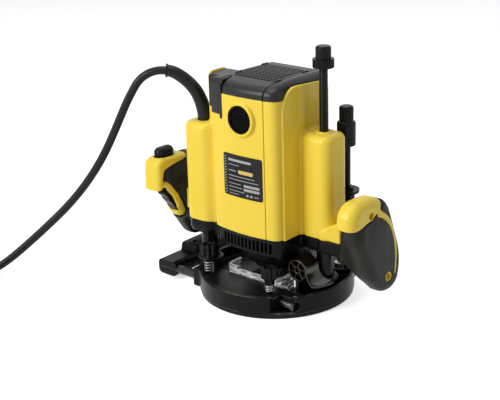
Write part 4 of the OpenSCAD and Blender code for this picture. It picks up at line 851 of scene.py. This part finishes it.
def cap_form(x, y, z):
    d = topped(body_plan(x, y), cap_height(y, z) + crown(y), CAP_Z - 9, TOP_Z, 9.5)
    d = np.maximum(d, CAP_Z - cap_height(y, z))
    d = meet(d, -pad(RIGHT_PANEL(y, z) - 0.35, x - 44, 3.2, 0.5), 0.8)
    d = meet(d, cover_edge(y) + 0.4 - x, 1.2)
    d = meet(d, -np.maximum(GRILLE_HOLE(x, y), TOP_Z - 12 - cap_height(y, z)), 0.7)
    return drill(d, x, y, z, (4, 0), 30, 220, 234)


def cap_middle(x, y, z):
    return meet(cap_form(x, y, z), x - SEAM_X + CAP_GAP, 0.7)


def cap_side(x, y, z):
    return meet(cap_form(x, y, z), SEAM_X + CAP_GAP - x, 0.7)


def on_cap(u, v, h):
    """Place on the sloping top of the cap."""
    return u, v, TOP_Z + h - CAP_SLOPE * (v + SLOPE_FROM) - float(crown(v))


cap = Parts()
cap.add(*net(cap_middle, (-37, -55, 224), (46, 51, 246), 0.9))
cap.add(*net(cap_side, (26, -53, 224), (46, 51, 246), 0.9))
# Deep black sheet under the grille and deep black undersides of its bars: painted shade in the open grille
grille_shade = Parts()
grille_shade.prism(box_loop(G_LEFT + 0.2, G_NEAR + 0.2, G_RIGHT - 0.2, G_FAR - 0.2), on_cap, -11.6, -10.8, 0.2, 2)
for i in range(GRILLE_CELLS):
    v = G_NEAR + (i + 0.5) * (G_FAR - G_NEAR) / GRILLE_CELLS
    row = box_loop(G_LEFT - 0.5, v - BAR_HALF, G_RIGHT + 0.5, v + BAR_HALF)
    cap.prism(row, on_cap, -0.1, 0.35, 0.15, 1)
    grille_shade.prism(row, on_cap, -5.0, -0.1, 0.1, 1)
for i in range(1, GRILLE_CELLS):
    u = G_LEFT + i * (G_RIGHT - G_LEFT) / GRILLE_CELLS
    for k in range(GRILLE_CELLS):
        v = G_NEAR + k * (G_FAR - G_NEAR) / GRILLE_CELLS
        cap.prism(box_loop(u - WEB_HALF, v, u + WEB_HALF, v + (G_FAR - G_NEAR) / GRILLE_CELLS), on_cap,
                  -1.0, 0.1, 0.1, 1)
for u, v in ((-31.2, -17), (-31.2, 25), (26, 22), (26, -23)):
    cap.prism(rounded(box(u - 1.4, v - 5, u + 1.4, v + 5, 1.2), 4), on_cap, -2.0, 1.0, 0.6)
piece("cap_shell", cap, CAP, "motor", "black_plastic", "top_cap")
piece("grille_painted_shade", grille_shade, INK, "motor", "black_plastic")


# Cover of the switch box with the strip beside it
COVER_BACK = outline(rounded([(-60, -36, 5), (-20, -36, 0.5), (-20, 34, 0.5), (-60, 34, 5)]))
COVER_FRONT = outline(rounded([(-45, -47.4, 2.5), (-20, -50.6, 0.5), (-20, -25, 0.5), (-45, -25, 0.5)]))


def cover_form(x, y, z):
    main = topped(COVER_BACK(x, y), z, 205.2, np.interp(y, (-6, 3), (239.5, 233)), 3.5)
    lip = topped(COVER_FRONT(x, y), z, COVER_Z, 240.5, 5)
    d = join(main, lip, 1.5)
    d = meet(d, x - cover_edge(y) + 0.2, 1.2)
    d = np.maximum(d, -pad(LEFT_PANEL(y, z) - 0.3, x + 61.5, 2.8, 0.3))
    return meet(d, -np.maximum(np.abs(x + 31.4) - 0.5, np.minimum(y + 47.4, 238.9 - z)), 0.4)


cover = Parts()
cover.add(*net(cover_form, (-62, -53, 202), (-24, 36, 243), 0.9))
cover.prism(rounded([(-30.6, 199, 0.8), (-27, 199, 0.8), (-27, 237, 1), (-30.6, 237, 1)], 3),
            lambda u, v, h: (u, float(front_y(u)) - 0.9 + h, v), 0.0, 4.0, 0.7)
piece("switch_cover", cover, CAP, "motor", "black_plastic", "switch_box_cover")


# Rating plate: plain bars stand where a plate has its print
def on_front(parts, x0, x1, z0, z1, out, thick, r=0.0, lean=0.0):
    """A thin plate bent to the front face. lean shears it upwards across its width."""
    columns = max(3, int((x1 - x0) / 1.6))
    rings = []
    for i in range(columns + 1):
        x = x0 + (x1 - x0) * (0.5 - 0.5 * math.cos(math.pi * i / columns) if r else i / columns)
        gap = max(0.0, r - min(x - x0, x1 - x))
        cut = r - math.sqrt(max(0.0, r * r - gap * gap))
        y = float(front_y(x)) - out
        lift = lean * (x - x0)
        rings.append([(x, y, z0 + cut + lift), (x, y - thick, z0 + cut + lift + 0.12),
                      (x, y - thick, z1 - cut + lift - 0.12), (x, y, z1 - cut + lift)])
    parts.rings(rings)


PRINT_OUT, PRINT_THICK, DASHES, DASH_PITCH = 0.6, 0.12, 14, 3.0
plate, print_pale, print_gold = Parts(30), Parts(30), Parts(30)
on_front(plate, -26.5, 25.7, 118, 164, -0.3, 0.9, 2.5)
for i in range(DASHES):
    rise = i * DASH_PITCH
    on_front(print_pale, -25.4, -22.2, 119.6 + rise, 120.5 + rise, PRINT_OUT, PRINT_THICK, 0, 0.55)
BARS = [(-19, 12, 156.4, 159), (-19, -4, 152.2, 152.9), (-19, -8.5, 145.6, 146.6), (-19, 16, 140.2, 141),
        (-19, 21, 136.4, 137.2), (-19, -2, 131.8, 132.5), (-19, 0, 128, 128.7), (-19, 3, 124, 124.7),
        (-19, -5, 120.8, 121.4), (2, 22, 126.4, 129.2), (2, 22, 130.6, 133.4), (5, 8, 120.8, 123),
        (10, 13, 120.8, 123), (15, 21, 121.6, 122.4)]
for x0, x1, z0, z1 in BARS:
    on_front(print_pale, x0, x1, z0, z1, PRINT_OUT, PRINT_THICK)
on_front(print_gold, -5.5, 14.5, 144, 148, PRINT_OUT, PRINT_THICK, 1.8)
piece("rating_plate", plate, LABEL, "motor", "black_plastic")
piece("rating_plate_bars", print_pale, PALE, "motor", "steel")
piece("rating_plate_field", print_gold, GOLD, "motor", "yellow_shell")


# Springs of the thumb screws
GUIDE_Y, GUIDE_Z, DECK_Z = 52, 12.5, 21.0
THUMBS = ((-53.24, -GUIDE_Y), (33.24, -GUIDE_Y), (-53.24, GUIDE_Y), (20.24, GUIDE_Y))
THUMB_RISE = (19, 14, 19, 19)
SPRING_R, SPRING_WIRE, SPRING_TURNS, TURN_STEPS, SPRING_LOW = 4.6, 0.6, 4, 22, 21.65
springs = Parts(60)
for (x, y), rise in zip(THUMBS, THUMB_RISE):
    high = DECK_Z + rise - 5.9
    coil = []
    for i in range(SPRING_TURNS * TURN_STEPS + 1):
        t = i / TURN_STEPS
        coil.append(Vector((x + SPRING_R * math.cos(math.tau * t), y + SPRING_R * math.sin(math.tau * t),
                            SPRING_LOW + (high - SPRING_LOW) * t / SPRING_TURNS)))
    springs.tube(coil, SPRING_WIRE, 8)
piece("thumb_springs", springs, STEEL, "base", "steel", "thumb_screw_springs")

# Threaded height rod
ROD_LOW, ROD_TOP, ROD_R, THREAD, THREAD_DEPTH = 10.05, 274.0, 4.7, 2.0, 0.55


def thread():
    sides, step = 20, 0.4
    rings = []
    count = int((ROD_TOP - ROD_LOW) / step)
    for i in range(count + 1):
        z = ROD_LOW + (ROD_TOP - ROD_LOW) * i / count
        ring = []
        for k in range(sides):
            turn = (z / THREAD - k / sides) % 1.0
            tooth = abs(2 * turn - 1)
            r = ROD_R - THREAD_DEPTH * max(0.0, 1 - 1.35 * tooth)
            a = math.tau * k / sides
            ring.append((RIGHT_POD[0] + r * math.cos(a), RIGHT_POD[1] + r * math.sin(a), z))
        rings.append(ring)
    parts = Parts(60)
    parts.rings(rings)
    return parts


piece("threaded_rod", thread(), BLACK_STEEL, "base", "black_steel", "height_rod")


# Dust chute: hub, spokes, foot, slope and ramp
HUB, HUB_R, SPOKES, SPOKE_FROM, SLOPE_TURN = (54.5, 43.5), 11, 6, 15, -31


def turned(u, v, degrees):
    """Distances along and off a line through the hub."""
    a = math.radians(degrees)
    return u * math.cos(a) + v * math.sin(a), -u * math.sin(a) + v * math.cos(a)


def chute_form(x, y, z):
    u, v = x - HUB[0], z - HUB[1]
    around = np.hypot(u, v)
    d = np.abs(around - HUB_R) - 1
    d = join(d, np.abs(around - 3.2) - 1.4, 0.6)
    for i in range(SPOKES):
        along, off = turned(u, v, 360 // SPOKES * i + SPOKE_FROM)
        d = join(d, np.maximum(np.abs(off) - 0.75, np.abs(along - 7.5) - 4), 0.8)
    d = np.minimum(d, most(np.abs(u) - 2, 10.2 - z, z - 32.5))
    along, off = turned(u, v, SLOPE_TURN)
    d = join(d, np.maximum(np.abs(off - HUB_R) - 1, np.abs(along - 4) - 4.2), 0.6)
    ramp = np.abs(np.hypot(u - 32, v - 3.3) - 21.25) - 1.25
    d = join(d, most(ramp, u - 32, v - 6.3), 0.6)
    d = meet(d, np.maximum(-33 - y, y + 4), 0.8)
    d = np.maximum(d, np.hypot(x, y) - 80.7)
    return np.maximum(d, 14.3 - np.hypot(x - RIGHT_POD[0], y - RIGHT_POD[1]))


piece("chute_shell", skin(chute_form, (40, -35, 8), (83, -2, 58), 0.75, 45), GLOSS, "base",
      "black_plastic", "dust_chute")

# Screws of the handles, deep in their wells
heads = Parts()
HEAD = [(0.9, 1.6), (0.9, 5.2), (2.4, 5.2), (3.1, 4.6), (3.1, 3.2), (1.9, 2.6), (1.9, -8), (0.2, -8),
        (0.2, 1.6)]
for side, screws, mid in ((1, R_SCREWS, RIGHT_Z), (-1, L_SCREWS, LEFT_Z)):
    for u, v in screws:
        heads.lathe(HEAD, (side * HANDLE_X, u + HANDLE_Y, v + mid), (side, 0, 0), 28)
piece("handle_screw_heads", heads, STEEL, "motor", "steel", "handle_screws")

# Guide rods with turned ends
rods = Parts()
GUIDE_X, GUIDE_R, CHAMFER = -123.5, 5, 0.8
for y, end in ((-GUIDE_Y, 65.5), (GUIDE_Y, 66)):
    long = end - GUIDE_X
    rods.lathe([(0.3, 0), (GUIDE_R - CHAMFER, 0), (GUIDE_R, CHAMFER), (GUIDE_R, long - CHAMFER),
                (GUIDE_R - CHAMFER, long), (0.3, long)], (GUIDE_X, y, GUIDE_Z), (1, 0, 0), 40)
piece("guide_bars", rods, BURNISHED, "edge_guide", "black_steel", "guide_rods")

# Base: rim, deck, pocket, bosses and the open notch beside the front rod
BASE_R, RIM_R, BASE_LOW, FLOOR_Z, RIM_Z, DRILL_TOP = 85.0, 81.0, 4, 10.0, 24.0, 40
PAD_X = math.sqrt(BASE_R ** 2 - GUIDE_Y ** 2)
TURRET = (57, 37.5)


def base_form(x, y, z):
    r = np.hypot(x, y)
    d = topped(r - BASE_R, z, BASE_LOW, RIM_Z, 1.2)
    d = meet(d, -np.maximum(r - RIM_R, DECK_Z - z), 1.2)
    d = meet(d, -meet(np.maximum(r - RIM_R, np.abs(y) - 37), FLOOR_Z - z, 2), 1.2)
    for at in (RIGHT_POD, LEFT_POD):
        d = join(d, topped(np.hypot(x - at[0], y - at[1]) - 14, z, BASE_LOW, 30, 1.5), 2)
    for at in THUMBS:
        d = drill(d, x, y, z, at, 7, DECK_Z, DRILL_TOP)
        d = np.minimum(d, post(x, y, z, at, 7, BASE_LOW, DECK_Z))
    d = drill(d, x, y, z, TURRET, 13.3, DECK_Z, DRILL_TOP)
    d = np.minimum(d, post(x, y, z, TURRET, 14, BASE_LOW, DECK_Z))
    for mid in (-GUIDE_Y, GUIDE_Y):
        d = join(d, block(x, y, z, (-PAD_X - 3, mid - 8, 3), (-PAD_X + 8, mid + 8, RIM_Z), 1), 1.5)
    d = meet(d, -most(47.5 - x, y + 51.3, 6.8 - z), 0.8)
    d = most(d, BASE_LOW - z, 32 - r)
    for at in (RIGHT_POD, LEFT_POD):
        d = drill(d, x, y, z, at, 9.05, 5, DRILL_TOP)
    d = np.maximum(d, 5.1 - np.hypot(np.abs(y) - GUIDE_Y, z - GUIDE_Z))
    for at in THUMBS:
        d = drill(d, x, y, z, at, 3.1, GUIDE_Z, DRILL_TOP)
    return d


piece("base_casting", skin(base_form, (-88, -87, 2), (87, 87, 32), 1.0, 42), WORN_HIGHLIT_CAST, "base",
      "black_casting", "base")


# Bracket under the motor, with its row of vents, and the drum below it
VENT_PITCH, VENTS_BESIDE = 5.2, 6


def bracket_form(x, y, z):
    d = most(body_plan(x, y) + 2, 58 - z, z - BODY_LOW)
    for at in (RIGHT_POD, LEFT_POD):
        d = join(d, topped(POD(x - at[0], y - at[1]) + 1, -z, -POD_Z, -60, 8), 3)
    webs_and_arms = least(block(x, y, z, (35, -9, 60), (64, 15, BODY_LOW), 2),
                          block(x, y, z, (-70, -40, 60), (-35, -16, BODY_LOW), 2),
                          block(x, y, z, (70, -15, 62), (97, 7, POD_Z), 2),
                          block(x, y, z, (-106, -27, 62), (-74, -3, POD_Z), 2))
    d = join(d, webs_and_arms, 3)
    d = drill(d, x, y, z, (0, 0), MOTOR_R, 61, 90)
    d = np.maximum(d, 11 - np.hypot(x, y))
    vent_mid = VENT_PITCH * np.clip(np.round(x / VENT_PITCH), -VENTS_BESIDE, VENTS_BESIDE)
    d = meet(d, -most(np.abs(x - vent_mid) - 1.4, 22 - np.abs(y), 60.8 - z, z - 72.5), 0.5)
    for at in (RIGHT_POD, LEFT_POD):
        d = drill(d, x, y, z, at, 9.6, 50, 90)
    return d


piece("bracket_casting", skin(bracket_form, (-108, -52, 56), (99, 48, 79), 0.95, 42), CAST, "motor",
      "black_casting", "motor_bracket")
drum = Parts(30)
drum.lathe([(11, 30), (22.6, 30), (23.6, 30.4), (24, 31.4), (24, 37.4), (25, 38.6), (34.4, 40.6),
            (36.4, 41.2), (37, 42.4), (37, 49), (36.4, 49.4), (36.4, 50.2), (37, 50.6), (37, 58.4),
            (11, 58.4)], (0, 0, 0), (0, 0, 1), 80)
piece("neck_drum", drum, CAST, "motor", "black_casting", "bearing_neck")

# Chip deflector: a clear wall in the pocket, with a lip and upright ribs
DEFLECTOR = outline(rounded(box(-43, -36, 34, 20, 9)))
WALL_MID, WALL_LOW, RIB_PITCH = -4.5, 10.1, 6.4


def deflector_form(x, y, z):
    plan = DEFLECTOR(x, y)
    off = x - WALL_MID
    top = np.where(np.abs(off) < 22, 25.5, 28.0)
    wall = most(np.abs(plan + 1.25) - 1.25, WALL_LOW - z, z - top)
    lip = np.maximum(np.abs(plan + 2) - 2, np.abs(z - top + 0.9) - 0.9)
    foot = most(np.abs(plan + 2.6) - 2.6, WALL_LOW - z, z - 12.6)
    rib = np.abs(off - RIB_PITCH * np.round(off / RIB_PITCH)) - 0.8
    ribs = most(rib, np.abs(plan + 2.2) - 2, WALL_LOW - z, z - top + 2.5)
    d = join(join(wall, lip, 0.8), np.minimum(foot, np.maximum(ribs, y + 30)), 0.8)
    return meet(d, y + 12, 0.6)


piece("chip_guard", skin(deflector_form, (-45, -38, 8), (36, -10, 30), 0.7, 40), CLEAR, "base",
      "clear_plastic", "chip_deflector")


# Thumb screws: star heads on a collar and shank
def star_screw(at, head, lobes=8):
    def form(x, y, z):
        u, v = x - at[0], y - at[1]
        r, turn_at = np.hypot(u, v), np.arctan2(v, u)
        star = r - 7.9 - 1.1 * np.cos(lobes * turn_at)
        d = pad(star, z - head - 7.4, 6.6, 1.5)
        d = meet(d, -np.maximum(r - 5.2, head + 12.2 - z), 0.8)
        d = join(d, post(x, y, z, at, 3.2, head + 4, head + 13), 0.8)
        d = join(d, post(x, y, z, at, 5.4, head - 5, head + 2), 1)
        return np.minimum(d, post(x, y, z, at, 3, 17.8, head))
    return form


for corner, at, rise in zip(("front_left", "front_right", "rear_left", "rear_right"), THUMBS, THUMB_RISE):
    head = DECK_Z + rise
    screw = skin(star_screw(at, head), (at[0] - 10, at[1] - 10, 16), (at[0] + 10, at[1] + 10, head + 16), 0.7)
    piece("star_screw_" + corner, screw, BLACK, corner + "_screw", "black_plastic", "thumb_screw_" + corner)


# Light, floor and backdrop
def area(name, place, target, size, watts):
    light = bpy.data.lights.new(name, "AREA")
    light.shape = "RECTANGLE"
    light.size, light.size_y = size
    light.energy = watts
    obj = bpy.data.objects.new(name, light)
    scene.collection.objects.link(obj)
    place, target = Vector(place), Vector(target)
    obj.location = place
    obj.rotation_euler = (target - place).to_track_quat("-Z", "Y").to_euler()


area("key", (-0.58, -1.52, 1.0), (0, 0, 0.12), (0.9, 0.9), 23.8)
area("top", (-0.2, -0.1, 1.7), (0, 0, 0.1), (0.9, 0.9), 10.0)
area("right", (1.5, 0.35, 0.7), (0, 0, 0.12), (0.4, 0.9), 1.6)
area("rear", (0.25, 1.25, 1.15), (0, 0, 0.1), (1.2, 0.35), 0.8)


def backdrop_rays(tree):
    """1 for the rays that see the white backdrop: the camera's own, and those off gloss or through glass."""
    rays = tree.nodes.new("ShaderNodeLightPath")
    seen = rays.outputs["Is Camera Ray"]
    for kind in ("Is Glossy Ray", "Is Transmission Ray"):
        either = tree.nodes.new("ShaderNodeMath")
        either.operation = "MAXIMUM"
        tree.links.new(seen, either.inputs[0])
        tree.links.new(rays.outputs[kind], either.inputs[1])
        seen = either.outputs[0]
    return seen


def where_seen(tree, hidden, seen):
    """One shader for the backdrop's own rays and another for all other light."""
    pick = tree.nodes.new("ShaderNodeMixShader")
    tree.links.new(backdrop_rays(tree), pick.inputs["Fac"])
    tree.links.new(hidden, pick.inputs[1])
    tree.links.new(seen, pick.inputs[2])
    return pick.outputs[0]


def background(tree, colour, strength):
    node = tree.nodes.new("ShaderNodeBackground")
    node.inputs["Color"].default_value = (*colour, 1)
    node.inputs["Strength"].default_value = strength
    return node.outputs[0]


scene.world = bpy.data.worlds.new("studio")
scene.world.use_nodes = True
tree = scene.world.node_tree
tree.nodes.clear()
out = tree.nodes.new("ShaderNodeOutputWorld")
soft, white = background(tree, (0.95, 0.97, 1.0), 0.22), background(tree, (1, 1, 1), 1.0)
tree.links.new(where_seen(tree, soft, white), out.inputs["Surface"])


def floor_material():
    n = Nodes("pale_floor")
    paper = n.add("ShaderNodeBsdfDiffuse")
    n.link(n.mix(n.noise(6.0), (0.9, 0.9, 0.9), (0.92, 0.92, 0.92)), paper.inputs["Color"])
    dark, glow = (n.add("ShaderNodeEmission", Strength=power).outputs[0] for power in (0.0, 0.62))
    both = n.add("ShaderNodeAddShader")
    n.link(paper.outputs[0], both.inputs[0])
    n.link(where_seen(n.tree, dark, glow), both.inputs[1])
    n.link(both.outputs[0], n.out.inputs["Surface"])
    return n.mat


FLOOR_HALF, FLOOR_DROP = 6, 0.0006
floor_mesh = bpy.data.meshes.new("floor")
corners = box_loop(-FLOOR_HALF, -FLOOR_HALF, FLOOR_HALF, FLOOR_HALF)
floor_mesh.from_pydata([(x, y, 0) for x, y in corners], [], [(0, 1, 2, 3)])
floor = bpy.data.objects.new("floor", floor_mesh)
floor.location.z = -FLOOR_DROP
scene.collection.objects.link(floor)
floor_mesh.materials.append(floor_material())
